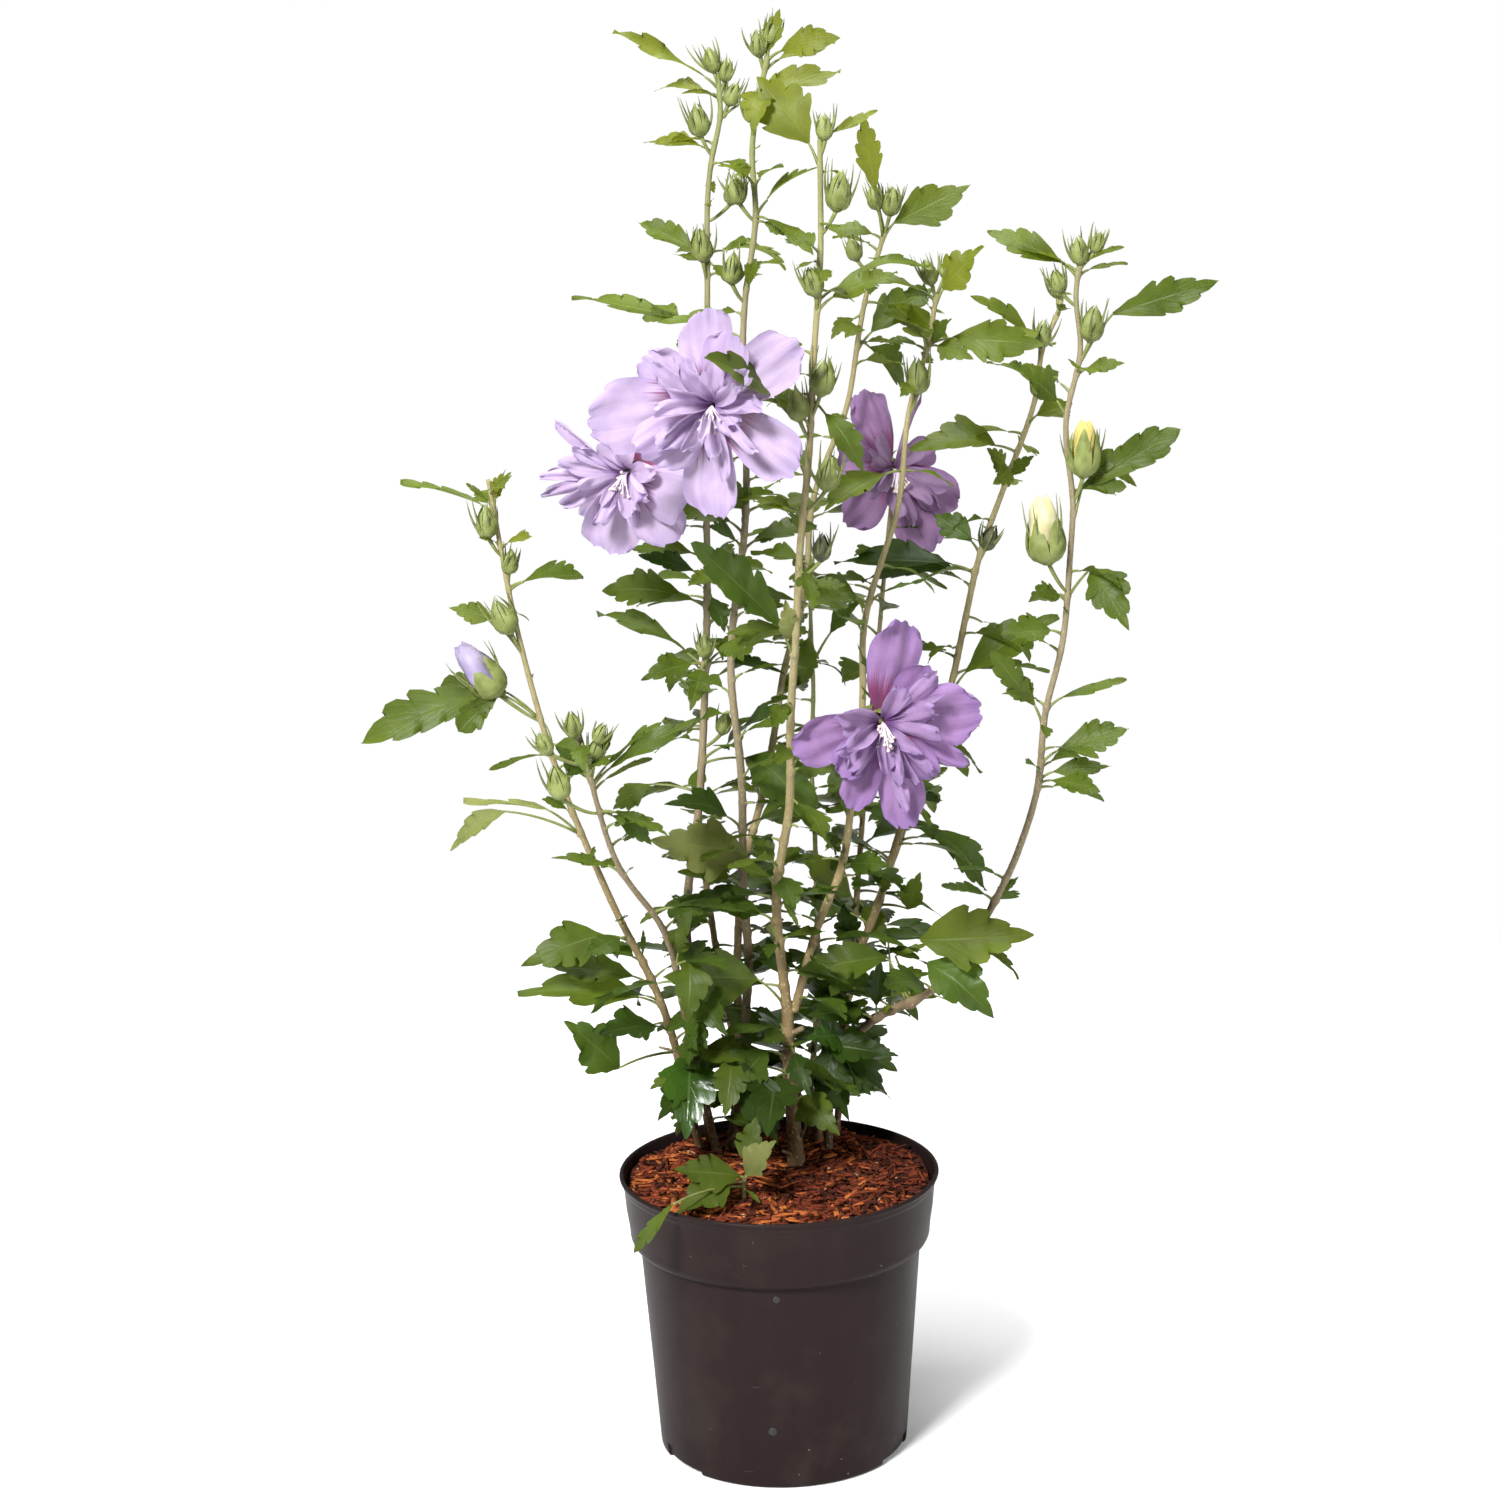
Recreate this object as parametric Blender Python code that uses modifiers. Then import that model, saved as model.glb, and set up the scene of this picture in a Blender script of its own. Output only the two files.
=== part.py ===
"""Hibiscus shrub in a round nursery pot, with open double blooms.

The shrub is a clump of slim stems from one root. Each stem is one tapering limb, and each mass of
leaves is one uneven closed solid whose points reach out to the tips of its leaves.
Metres, +Z up. The origin is the middle of the pot's flat underside, and -Y is the front.
"""

import math

import bmesh
import bpy
import numpy as np
from mathutils import Vector

MM = 0.001
GAP = 0.3 * MM

# Pot: a 19 cm nursery container.
POT_HEIGHT = 170.7 * MM
RIM_RADIUS = 95.0 * MM
CREASE_HEIGHT = 127.2 * MM
CREASE_RADIUS = 83.7 * MM
BASE_RADIUS = 73.2 * MM
FOOT_ROUNDING = 2.5 * MM
WALL = 1.5 * MM
FLOOR = 2.5 * MM
POT_SIDES = 40
NOTCH_BEARINGS = (-55, 65, 185)
NOTCH_HEIGHT = 9 * MM
NOTCH_WIDTH = 34 * MM
NOTCH_TOP_WIDTH = 24 * MM
NOTCH_DEPTH = 7 * MM

# Growing medium with its bark mulch on top.
MULCH_EDGE = 159 * MM
MULCH_CROWN = 163 * MM
MULCH_UNEVEN = 1.2 * MM
MULCH_SIDES = 32

# Limbs. FOOT is below the mulch, which trims each limb to its own surface.
FOOT = 156
FLARE = 0.45
FLARE_HEIGHT = 14
MANY_POINTS = 6

# Masses of leaves.
CORE_RADIUS = 11
CORE_ENDS = 7
SPRAY_SIDEWAYS = math.radians(34)
SPRAY_UPDOWN = math.radians(19)
UNEVEN = 0.16

COLOURS = {
    "black_plastic": ((0.030, 0.026, 0.024), 0.45),
    "bark_mulch": ((0.115, 0.042, 0.022), 0.90),
    "bark": ((0.235, 0.170, 0.110), 0.80),
    "green_stem": ((0.190, 0.210, 0.080), 0.60),
    "leaf": ((0.070, 0.150, 0.025), 0.50),
    "young_leaf": ((0.180, 0.300, 0.050), 0.50),
    "petal": ((0.520, 0.400, 0.640), 0.60),
}

# Each limb: radius at its foot and at its tip, then the points that it passes, all in millimetres.
LIMBS = {
    "trunk": (4.6, 3.5, [(11, 23, FOOT), (8, 22, 218), (7, 18, 268)]),
    "stem_front_tall": (3, 1.4, [
        (7, 18, 262), (2, 6, 330), (10, -15, 396), (12, -31, 446), (16, -48, 509), (21, -63, 573),
        (29, -77, 664), (32, -81, 719), (33, -84, 776),
    ]),
    "stem_front_right": (2.6, 1.3, [
        (11, 18, 262), (26, 18, 314), (43, 13, 362), (48, 9, 393), (54, 0, 460), (55, -6, 496),
        (74, -16, 565), (83, -24, 628), (91, -28, 656), (97, -32, 687),
    ]),
    "stem_right_arch_foot": (2.9, 2.1, [(30, 48, FOOT), (35, 46, 214), (57, 38, 248), (94, 22, 273), (124, 4, 320)]),
    "stem_right_arch": (2.1, 1.4, [
        (124, 4, 320), (143, -11, 366), (152, -21, 400), (157, -34, 455), (164, -40, 491),
        (169, -49, 540), (170, -53, 566), (165, -61, 619), (172, -63, 657), (170, -65, 689),
        (172, -66, 704),
    ]),
    "stem_right_rear": (2.9, 1.4, [
        (23, 60, FOOT), (36, 62, 249), (59, 65, 302), (77, 68, 357), (110, 74, 449), (118, 77, 486),
        (129, 79, 528), (142, 82, 565), (161, 85, 616), (166, 86, 647), (177, 87, 675), (176, 88, 687),
    ]),
    "stem_lean_right": (2.8, 1.4, [
        (-19, 68, FOOT), (-23, 75, 253), (-21, 79, 312), (-7, 84, 375), (4, 90, 424), (9, 93, 452),
        (22, 98, 497), (27, 102, 548), (50, 104, 614), (64, 104, 684), (74, 104, 715),
    ]),
    "stem_tallest": (3, 1.4, [
        (-30, 57, FOOT), (-16, 40, 288), (-18, 27, 341), (-17, 7, 415), (-22, -7, 473), (-12, -28, 558),
        (-10, -38, 601), (-9, -49, 688), (-2, -51, 732), (-3, -52, 767), (6, -53, 816),
    ]),
    "stem_left_tall": (3, 1.4, [
        (-41, 63, FOOT), (-52, 62, 320), (-45, 63, 370), (-39, 64, 431), (-36, 64, 510), (-32, 61, 663),
        (-27, 57, 758), (-21, 55, 787), (-22, 54, 809),
    ]),
    "stem_left_arch": (2.7, 1.3, [(-46, 53, FOOT), (-72, 40, 271), (-97, 32, 329), (-139, 12, 467), (-157, -2, 586)]),
    "stem_left_low": (2.7, 1.2, [(-36, 46, FOOT), (-51, 24, 241), (-64, -12, 321), (-87, -44, 368), (-106, -92, 464)]),
    "stem_thin_middle": (2, 1.1, [
        (16, 66, FOOT), (26, 72, 259), (26, 76, 346), (25, 79, 405), (27, 80, 439), (26, 82, 500),
        (28, 83, 526),
    ]),
    "stem_thin_rear": (2.2, 1.2, [(35, 67, FOOT), (47, 86, 270), (61, 108, 408), (77, 118, 556)]),
    "stem_rear_left": (2.5, 1.2, [
        (-10, 74, FOOT), (-38, 98, 291), (-45, 122, 369), (-40, 138, 435), (-38, 148, 484),
        (-38, 154, 524),
    ]),
    "stem_rear_right": (2.5, 1.2, [
        (24, 76, FOOT), (52, 98, 270), (74, 122, 324), (91, 142, 368), (102, 158, 403),
    ]),
    "stem_front_sprout": (1.9, 1.1, [(-20, -30, FOOT), (-21, -33, 170), (-20, -36, 178)]),
    "bloom_stalk_right": (1.5, 1.5, [(53, 2, 447), (58, -36, 456), (63, -74, 458)]),
    "bloom_stalk_left": (1.5, 1.5, [(-36, 63, 566), (-50, 42, 580), (-70, 9, 586)]),
}
TRUNK_FLARES = ("trunk",)

# A limb that starts on another one is trimmed by it.
TRIMMED_BY = {
    "stem_front_tall": ["trunk"],
    "stem_front_right": ["trunk", "stem_front_tall"],
    "stem_right_arch": ["stem_right_arch_foot"],
    "bloom_stalk_right": ["stem_front_right"],
    "bloom_stalk_left": ["stem_left_tall"],
}

# Masses on each limb, from its top down: the height where a mass begins and ends on the limb,
# then the reach of its leaves: height of the leaf's node, and how far the tip is right, back and up.
MASSES = {
    "stem_tallest": [
        (788, 822, [(813, 41, -20, 10), (793, 47, 30, 14), (814, -30, 40, 15), (818, 5, -4, 28)]),
        (688, 752, [(732, 31, -32, 24), (745, -18, -42, 5), (723, 27, -54, -10), (730, -36, 58, 6)]),
        (488, 545, [(547, -10, -48, -8), (515, -24, -46, 36), (490, -20, -52, 4), (500, 30, 40, 6)]),
        (356, 450, [(442, -6, -52, -2), (420, 47, -50, -28), (376, -48, -40, 24), (362, -56, -60, 3)]),
    ],
    "stem_left_tall": [
        (768, 820, [(807, -60, -10, 27), (795, -38, 24, 4), (772, -44, 36, -2), (777, 34, 52, 5)]),
        (655, 714, [(709, -46, 20, 15), (665, -84, 30, 16), (659, -43, 64, -9), (700, 31, 62, -16)]),
        (438, 518, [(516, -50, 20, 13), (497, -68, 22, 6), (462, -72, 44, 20), (448, -60, -24, -20)]),
    ],
    "stem_lean_right": [
        (690, 722, [(712, -12, -20, 74), (712, 58, 10, 29), (706, -40, 2, 4), (698, 38, 52, 8)]),
        (588, 680, [(668, -42, 52, -8), (650, 34, 60, -34), (596, -38, 42, -24), (620, 30, -44, 10)]),
    ],
    "stem_front_tall": [
        (744, 784, [(768, 36, 10, 16), (758, -38, 22, 46), (750, -20, -42, 8), (770, 10, -36, 22)]),
        (664, 684, [(680, 46, 0, 20), (670, 69, 40, 26), (672, -12, -50, 10)]),
        (588, 624, [(617, -58, -60, 43), (596, 26, -62, -20)]),
        (478, 545, [(541, -30, -62, -7), (486, 36, -62, -9), (520, -40, 30, -14)]),
    ],
    "stem_front_right": [
        (656, 694, [(688, 29, -20, 26), (683, -34, 22, 16), (660, 64, -20, -1), (664, 6, -60, -6)]),
        (534, 590, [(584, -46, -32, -18), (540, 40, -44, -18)]),
        (340, 376, [(360, -34, -46, -2), (362, 46, -50, -14)]),
    ],
    "stem_right_rear": [
        (608, 688, [(651, -50, -10, 26), (676, 8, -8, 28), (640, 40, 52, 6), (614, -30, 50, -16)]),
        (513, 582, [(566, -15, -24, 34), (555, 26, -12, 36), (578, -66, -20, 7), (516, -88, 22, 3)]),
        (450, 474, [(453, 64, -20, 36), (471, 32, 56, -26)]),
        (316, 342, [(338, 30, -28, -10), (322, 86, 10, -1), (330, 48, 64, 12)]),
    ],
    "stem_right_arch": [
        (640, 704, [(696, -52, 10, 21), (683, 26, 10, 26), (662, 77, -10, 29), (650, 10, -66, 4)]),
        (490, 584, [(580, 63, -10, 30), (537, -36, 60, 4), (518, 30, -40, -24), (500, 44, 50, 12)]),
        (402, 455, [(442, -36, -10, 42), (452, 44, -10, 17), (420, 52, -10, 17), (407, 38, -44, 4)]),
    ],
    "stem_right_arch_foot": [
        (268, 314, [(309, 42, -32, 12), (290, 14, -46, -14), (286, 30, -24, -24), (300, 60, 62, -26)]),
    ],
    "stem_thin_rear": [
        (336, 430, [(340, 72, -60, -9), (366, 14, 58, -38), (427, -30, 52, 23)]),
    ],
    "stem_left_arch": [
        (512, 584, [(576, -60, 10, 6), (540, -14, -34, 9), (521, 50, 10, 0), (512, -42, 4, -6)]),
        (380, 458, [(455, -104, -10, -26), (381, -70, 4, 7), (384, -78, -22, -19), (401, 44, 52, 13)]),
        (298, 330, [(305, -66, -20, -12), (301, -24, -44, -8), (326, 58, 44, 20)]),
        (222, 264, [(261, -88, -10, 10), (228, -76, -40, 30), (252, -34, -54, -4)]),
    ],
    "stem_left_low": [
        (312, 448, [(434, 68, -10, 23), (361, -42, -12, 12), (400, 6, -54, -5), (322, -20, -64, 2)]),
        (204, 238, [(227, -22, -44, -30), (234, 33, -62, 3), (206, -30, -62, -2)]),
    ],
    "trunk": [
        (200, 254, [(226, -38, -46, -24), (205, 32, -36, -3), (250, 6, -52, 2), (247, 60, -54, -26)]),
    ],
    "stem_thin_middle": [
        (346, 520, [(512, -34, 60, 17), (473, 26, 54, -44), (400, -38, 62, -36), (352, 24, 52, 7)]),
    ],
    "stem_rear_left": [
        (420, 540, [(530, 40, 50, 18), (500, -62, 34, -4), (470, -20, 74, -14), (430, 52, 50, -20)]),
    ],
    "stem_rear_right": [
        (330, 430, [(422, -24, 62, 14), (410, 62, 48, -6), (370, 70, 34, -24), (350, -28, 70, -18)]),
    ],
    "stem_front_sprout": [
        (172, 184, [(178, -46, -14, 8), (178, -30, -40, 12), (178, 16, -14, 26)]),
    ],
}

# Blooms: middle, radius, half thickness, the way that each one faces, and the limb point that carries it.
BLOOMS = {
    "bloom_left_upper": ((-33, -92, 634), 55, 18, (-0.1, -1, 0.1), (-11, -44, 642)),
    "bloom_left_lower": ((-73, 2, 585), 46, 15, (-0.35, -1, 0.0), None),
    "bloom_right_lower": ((65, -96, 455), 55, 18, (0.1, -1, 0.15), None),
    "bloom_right_upper": ((81, 130, 575), 40, 14, (0.3, -1, 0.1), (77, 118, 552)),
}


def material(name):
    """A Principled material in the colour and roughness of that name."""
    found = bpy.data.materials.get(name)
    if found:
        return found
    colour, roughness = COLOURS[name]
    made = bpy.data.materials.new(name)
    made.use_nodes = True
    shader = made.node_tree.nodes["Principled BSDF"]
    shader.inputs["Base Color"].default_value = (*colour, 1)
    shader.inputs["Roughness"].default_value = roughness
    shader.inputs["Metallic"].default_value = 0
    made.diffuse_color = (*colour, 1)
    return made


def add(name, mesh, collection, finish=None):
    """An object of this mesh in the collection, in its own finish."""
    made = bpy.data.objects.new(name, mesh)
    collection.objects.link(made)
    if finish:
        mesh.materials.clear()
        mesh.materials.append(material(finish))
    return made


def evaluated_mesh(obj):
    """The mesh of an object with its modifiers, and its loose ends welded."""
    bpy.context.view_layer.update()
    graph = bpy.context.evaluated_depsgraph_get()
    mesh = bpy.data.meshes.new_from_object(obj.evaluated_get(graph))
    shape = bmesh.new()
    shape.from_mesh(mesh)
    bmesh.ops.remove_doubles(shape, verts=shape.verts, dist=0.01 * MM)
    bmesh.ops.recalc_face_normals(shape, faces=shape.faces)
    shape.to_mesh(mesh)
    shape.free()
    return mesh


def box_of(mesh):
    """The lowest and highest corner of a mesh."""
    points = np.empty(len(mesh.vertices) * 3)
    mesh.vertices.foreach_get("co", points)
    points = points.reshape(-1, 3)
    return points.min(axis=0), points.max(axis=0)


def boxes_meet(a, b):
    """Whether the boxes of two meshes come within the gap of each other."""
    (low_a, high_a), (low_b, high_b) = box_of(a), box_of(b)
    return bool(np.all(low_a - GAP <= high_b) and np.all(low_b - GAP <= high_a))


def fattened(obj, cutters):
    """A cutter of the object's shape, larger by the gap all round."""
    mesh = obj.data.copy()
    shape = bmesh.new()
    shape.from_mesh(mesh)
    shape.normal_update()
    moves = [vertex.normal * GAP * 1.2 for vertex in shape.verts]
    for vertex, move in zip(shape.verts, moves):
        vertex.co += move
    shape.to_mesh(mesh)
    shape.free()
    cutter = add(obj.name + "_cutter", mesh, cutters)
    cutter.hide_render = True
    cutter.display_type = "WIRE"
    return cutter


def largest_piece(mesh):
    """Takes away all but the largest of the separate pieces that a cut has left."""
    shape = bmesh.new()
    shape.from_mesh(mesh)
    left = set(shape.verts)
    pieces = []
    while left:
        piece = {left.pop()}
        edge = list(piece)
        while edge:
            near = {e.other_vert(v) for v in edge for e in v.link_edges} - piece
            piece |= near
            edge = list(near)
        left -= piece
        pieces.append(piece)
    pieces.sort(key=lambda piece: sum(f.calc_area() for f in {f for v in piece for f in v.link_faces}))
    spare = [v for piece in pieces[:-1] for v in piece]
    bmesh.ops.delete(shape, geom=spare, context="VERTS")
    shape.to_mesh(mesh)
    shape.free()


def cut(obj, cutters):
    """Cuts the object by each cutter in turn and keeps its largest piece."""
    for cutter in cutters:
        if not boxes_meet(obj.data, cutter.data):
            continue
        modifier = obj.modifiers.new("cut", "BOOLEAN")
        modifier.operation = "DIFFERENCE"
        modifier.object = cutter
        mesh = evaluated_mesh(obj)
        obj.modifiers.clear()
        if not mesh.polygons:
            continue
        largest_piece(mesh)
        old = obj.data
        name = old.name
        obj.data = mesh
        bpy.data.meshes.remove(old)
        mesh.name = name


def turned(name, profile, steps, collection, finish):
    """A profile of (radius, height) turned about the Z axis. It starts inside and comes down outside."""
    mesh = bpy.data.meshes.new(name)
    points = [(radius, 0, height) for radius, height in profile]
    mesh.from_pydata(points, [(i, i + 1) for i in range(len(points) - 1)], [])
    made = add(name, mesh, collection, finish)
    screw = made.modifiers.new("turn", "SCREW")
    screw.steps = steps
    screw.render_steps = steps
    screw.use_merge_vertices = True
    screw.merge_threshold = 0.01 * MM
    solid = evaluated_mesh(made)
    made.modifiers.clear()
    made.data = solid
    solid.materials.clear()
    solid.materials.append(material(finish))
    solid.shade_smooth()
    solid.set_sharp_from_angle(angle=math.radians(35))
    return made


def pot_outside():
    """The pot's outer profile from the lip down to the foot, as (radius, height)."""
    band_top = CREASE_HEIGHT + 34.5 * MM
    lip = 2.3 * MM
    rounding = [
        (BASE_RADIUS + 1.3 * MM - FOOT_ROUNDING * (1 - math.cos(a)), FOOT_ROUNDING * (1 - math.sin(a)))
        for a in np.radians((0, 45, 90))
    ]
    return [
        (RIM_RADIUS - lip, POT_HEIGHT - 0.5 * MM),
        (RIM_RADIUS - lip / 2, POT_HEIGHT),
        (RIM_RADIUS, POT_HEIGHT - 0.8 * MM),
        (RIM_RADIUS, POT_HEIGHT - 2.6 * MM),
        (RIM_RADIUS - 1.6 * MM, POT_HEIGHT - 3.6 * MM),
        (RIM_RADIUS - 2.4 * MM, band_top),
        (CREASE_RADIUS + 6.0 * MM, CREASE_HEIGHT + 11 * MM),
        (CREASE_RADIUS + 5.0 * MM, CREASE_HEIGHT + 5 * MM),
        (CREASE_RADIUS + 2.2 * MM, CREASE_HEIGHT + 1 * MM),
        (CREASE_RADIUS, CREASE_HEIGHT),
        *rounding,
    ]


def wall_inside(height):
    """The radius of the pot's inner wall at a height."""
    if height > CREASE_HEIGHT + 5 * MM:
        share = (height - CREASE_HEIGHT) / (POT_HEIGHT - CREASE_HEIGHT)
        return CREASE_RADIUS + 3.2 * MM + share * (RIM_RADIUS - CREASE_RADIUS - 6.0 * MM)
    share = height / CREASE_HEIGHT
    return BASE_RADIUS + 1.3 * MM + share * (CREASE_RADIUS - BASE_RADIUS - 1.3 * MM) - WALL


def make_pot(parts):
    """The pot: one thin shell with its floor."""
    inside = [FLOOR, CREASE_HEIGHT, CREASE_HEIGHT + 5.2 * MM, POT_HEIGHT - 3 * MM]
    profile = [(0, FLOOR)] + [(wall_inside(height), height) for height in inside]
    profile += pot_outside() + [(0, 0)]
    return turned("pot", profile, POT_SIDES, parts, "black_plastic")


def make_medium(parts):
    """The growing medium that fills the pot, with a low uneven crown of bark mulch."""
    low = FLOOR + GAP
    heights = [low, CREASE_HEIGHT, CREASE_HEIGHT + 5.2 * MM, MULCH_EDGE]
    outside = [(wall_inside(height) - 1.5 * GAP, height) for height in heights]
    edge = outside[-1][0]
    crown = [
        (edge * share, MULCH_EDGE + (MULCH_CROWN - MULCH_EDGE) * (1 - share**2))
        for share in (0, 0.25, 0.5, 0.75)
    ]
    profile = crown + outside[::-1] + [(0, low)]
    medium = turned("bark_mulch", profile, MULCH_SIDES, parts, "bark_mulch")
    for vertex in medium.data.vertices:
        x, y, z = vertex.co
        if z > MULCH_EDGE + 0.5 * MM:
            vertex.co.z += MULCH_UNEVEN * math.sin(x * 90 + 1) * math.cos(y * 110 - 0.4)
    return medium


def notch_cutter(bearing, cutters):
    """A block with slanted sides, at the corner of wall and floor. Its bearing is from the front."""
    shape = bmesh.new()
    bmesh.ops.create_cube(shape, size=1)
    for vertex in shape.verts:
        top = vertex.co.z > 0
        width = NOTCH_TOP_WIDTH if top else NOTCH_WIDTH
        vertex.co.x *= width
        vertex.co.y = -BASE_RADIUS + (NOTCH_DEPTH if vertex.co.y > 0 else -NOTCH_DEPTH)
        vertex.co.z = NOTCH_HEIGHT if top else -NOTCH_HEIGHT
    mesh = bpy.data.meshes.new("notch")
    shape.to_mesh(mesh)
    shape.free()
    cutter = add("notch_%d" % bearing, mesh, cutters)
    cutter.hide_render = True
    cutter.display_type = "WIRE"
    turn = math.radians(bearing)
    for vertex in mesh.vertices:
        x, y = vertex.co.x, vertex.co.y
        vertex.co.x = x * math.cos(turn) - y * math.sin(turn)
        vertex.co.y = x * math.sin(turn) + y * math.cos(turn)
    return cutter


def make_limb(name, parts):
    """A curve through the limb's points, as thick at each as its taper and its flare say."""
    foot, tip, points = LIMBS[name]
    curve = bpy.data.curves.new(name, "CURVE")
    curve.dimensions = "3D"
    curve.bevel_depth = 1
    curve.bevel_resolution = 1
    curve.use_fill_caps = True
    curve.resolution_u = 3 if len(points) <= MANY_POINTS else 1
    spline = curve.splines.new("BEZIER")
    spline.bezier_points.add(len(points) - 1)
    low, high = points[0][2], points[-1][2]
    for node, point in zip(spline.bezier_points, points):
        share = (point[2] - low) / max(high - low, 1)
        radius = foot + (tip - foot) * share**0.85
        if name in TRUNK_FLARES:
            radius *= 1 + FLARE * math.exp(-(point[2] - low) / FLARE_HEIGHT)
        node.co = Vector(point) * MM
        node.radius = radius * MM
        node.handle_left_type = "AUTO"
        node.handle_right_type = "AUTO"
    tube = bpy.data.objects.new(name + "_tube", curve)
    bpy.context.scene.collection.objects.link(tube)
    mesh = evaluated_mesh(tube)
    bpy.data.objects.remove(tube)
    finish = "green_stem" if name.startswith(("bloom", "stem_thin", "stem_front_s")) else "bark"
    mesh.name = name
    mesh.shade_smooth()
    return add(name, mesh, parts, finish)


def limb_point(name, height):
    """The point of a limb at a height, on straight lines between its points."""
    points = np.array(LIMBS[name][2], float)
    return np.array([np.interp(height, points[:, 2], points[:, axis]) for axis in range(3)])


def star_solid(name, centre, reaches, core, seed, parts, finish):
    """A closed solid about its centre. In each direction its radius is that of the core, an
    ellipsoid, or near a reach that reach's length, falling off in a bell that is wide to the
    sides and narrow up and down. The ball's point nearest each reach is turned onto its tip."""
    rng = np.random.default_rng(seed)
    shape = bmesh.new()
    bmesh.ops.create_icosphere(shape, subdivisions=2, radius=1)
    ways = np.array([vertex.co for vertex in shape.verts])
    radii = 1 / np.sqrt((ways[:, :2] ** 2).sum(axis=1) / core[0] ** 2 + ways[:, 2] ** 2 / core[1] ** 2)
    radii = radii * (1 + UNEVEN * rng.uniform(-1, 1, len(ways)))
    taken = []
    for reach in reaches:
        length = np.linalg.norm(reach)
        way = reach / length
        level = np.cross((0, 0, 1), way)
        level = level / max(np.linalg.norm(level), 1e-6)
        across = np.arcsin(np.clip(ways @ level, -1, 1))
        rise = np.arccos(np.clip(ways @ way, -1, 1))
        updown = np.sqrt(np.maximum(rise**2 - across**2, 0))
        bell = np.exp(-((across / SPRAY_SIDEWAYS) ** 2) - (updown / SPRAY_UPDOWN) ** 2)
        radii = np.maximum(radii, np.where(ways @ way > 0, 0.85 * length * bell, 0))
        order = [i for i in np.argsort(-(ways @ way)) if i not in taken]
        taken.append(order[0])
    for i, reach in zip(taken, reaches):
        radii[i] = np.linalg.norm(reach)
        ways[i] = reach / radii[i]
    for vertex, way, radius in zip(shape.verts, ways, radii):
        vertex.co = Vector((np.asarray(centre) + way * radius) * MM)
    bmesh.ops.recalc_face_normals(shape, faces=shape.faces)
    mesh = bpy.data.meshes.new(name)
    shape.to_mesh(mesh)
    shape.free()
    return add(name, mesh, parts, finish)


def make_masses(parts):
    """Every mass of leaves, as (object, limb)."""
    made = []
    for limb, levels in MASSES.items():
        for number, (low, high, leaves) in enumerate(levels, 1):
            centre = limb_point(limb, (low + high) / 2)
            reaches = [limb_point(limb, leaf[0]) + leaf[1:] - centre for leaf in leaves]
            core = (CORE_RADIUS, (high - low) / 2 + CORE_ENDS)
            name = "leaves_%s_%d" % (limb.replace("stem_", ""), number)
            seed = len(made) + 11
            finish = "young_leaf" if number == 1 and high > 560 else "leaf"
            made.append(star_solid(name, centre, reaches, core, seed, parts, finish))
    return made


def make_bloom(name, parts):
    """A bloom as a round, thick, uneven disc across the way that it faces, with its calyx."""
    middle, radius, thick, facing, carrier = BLOOMS[name]
    seed = list(BLOOMS).index(name) + 71
    rng = np.random.default_rng(seed)
    axis = np.array(facing, float)
    axis = axis / np.linalg.norm(axis)
    shape = bmesh.new()
    bmesh.ops.create_icosphere(shape, subdivisions=2, radius=1)
    ways = np.array([vertex.co for vertex in shape.verts])
    along = ways @ axis
    flat = ways - along[:, None] * axis
    rim = radius * (1 + 0.5 * UNEVEN * rng.uniform(-1, 1, len(ways)))
    points = np.asarray(middle) + flat * rim[:, None] + (along * thick)[:, None] * axis
    if carrier:
        points[np.argmin(along)] = carrier
    for vertex, point in zip(shape.verts, points):
        vertex.co = Vector(point * MM)
    bmesh.ops.recalc_face_normals(shape, faces=shape.faces)
    mesh = bpy.data.meshes.new(name)
    shape.to_mesh(mesh)
    shape.free()
    return add(name, mesh, parts, "petal")


def main():
    for old in list(bpy.data.objects):
        bpy.data.objects.remove(old)
    parts = bpy.data.collections.new("hibiscus_shrub")
    cutters = bpy.data.collections.new("cutters")
    for collection in (parts, cutters):
        bpy.context.scene.collection.children.link(collection)
    pot = make_pot(parts)
    medium = make_medium(parts)
    notches = [notch_cutter(bearing, cutters) for bearing in NOTCH_BEARINGS]
    cut(pot, notches)
    cut(medium, notches)
    medium_cutter = fattened(medium, cutters)
    limbs = {name: make_limb(name, parts) for name in LIMBS}
    limb_cutters = {}
    for name, limb in limbs.items():
        cut(limb, [limb_cutters[other] for other in TRIMMED_BY.get(name, [])])
        cut(limb, [medium_cutter])
        limb_cutters[name] = fattened(limb, cutters)
    done = list(limb_cutters.values())
    for solid in [make_bloom(name, parts) for name in BLOOMS] + make_masses(parts):
        cut(solid, done)
        done.append(fattened(solid, cutters))
    cutters.hide_render = True


main()
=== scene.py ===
"""Looks of the potted hibiscus shrub: bark, leaves, buds, double blooms, bark mulch and pot.

Lengths in the tables are millimetres: X to the right, Y to the back and Z up from the pot's
underside. They become metres when a mesh is made. Every surface is a grid of points worked out
from two parameters, and its faces look out where columns x rows point out.
"""

import math

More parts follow.
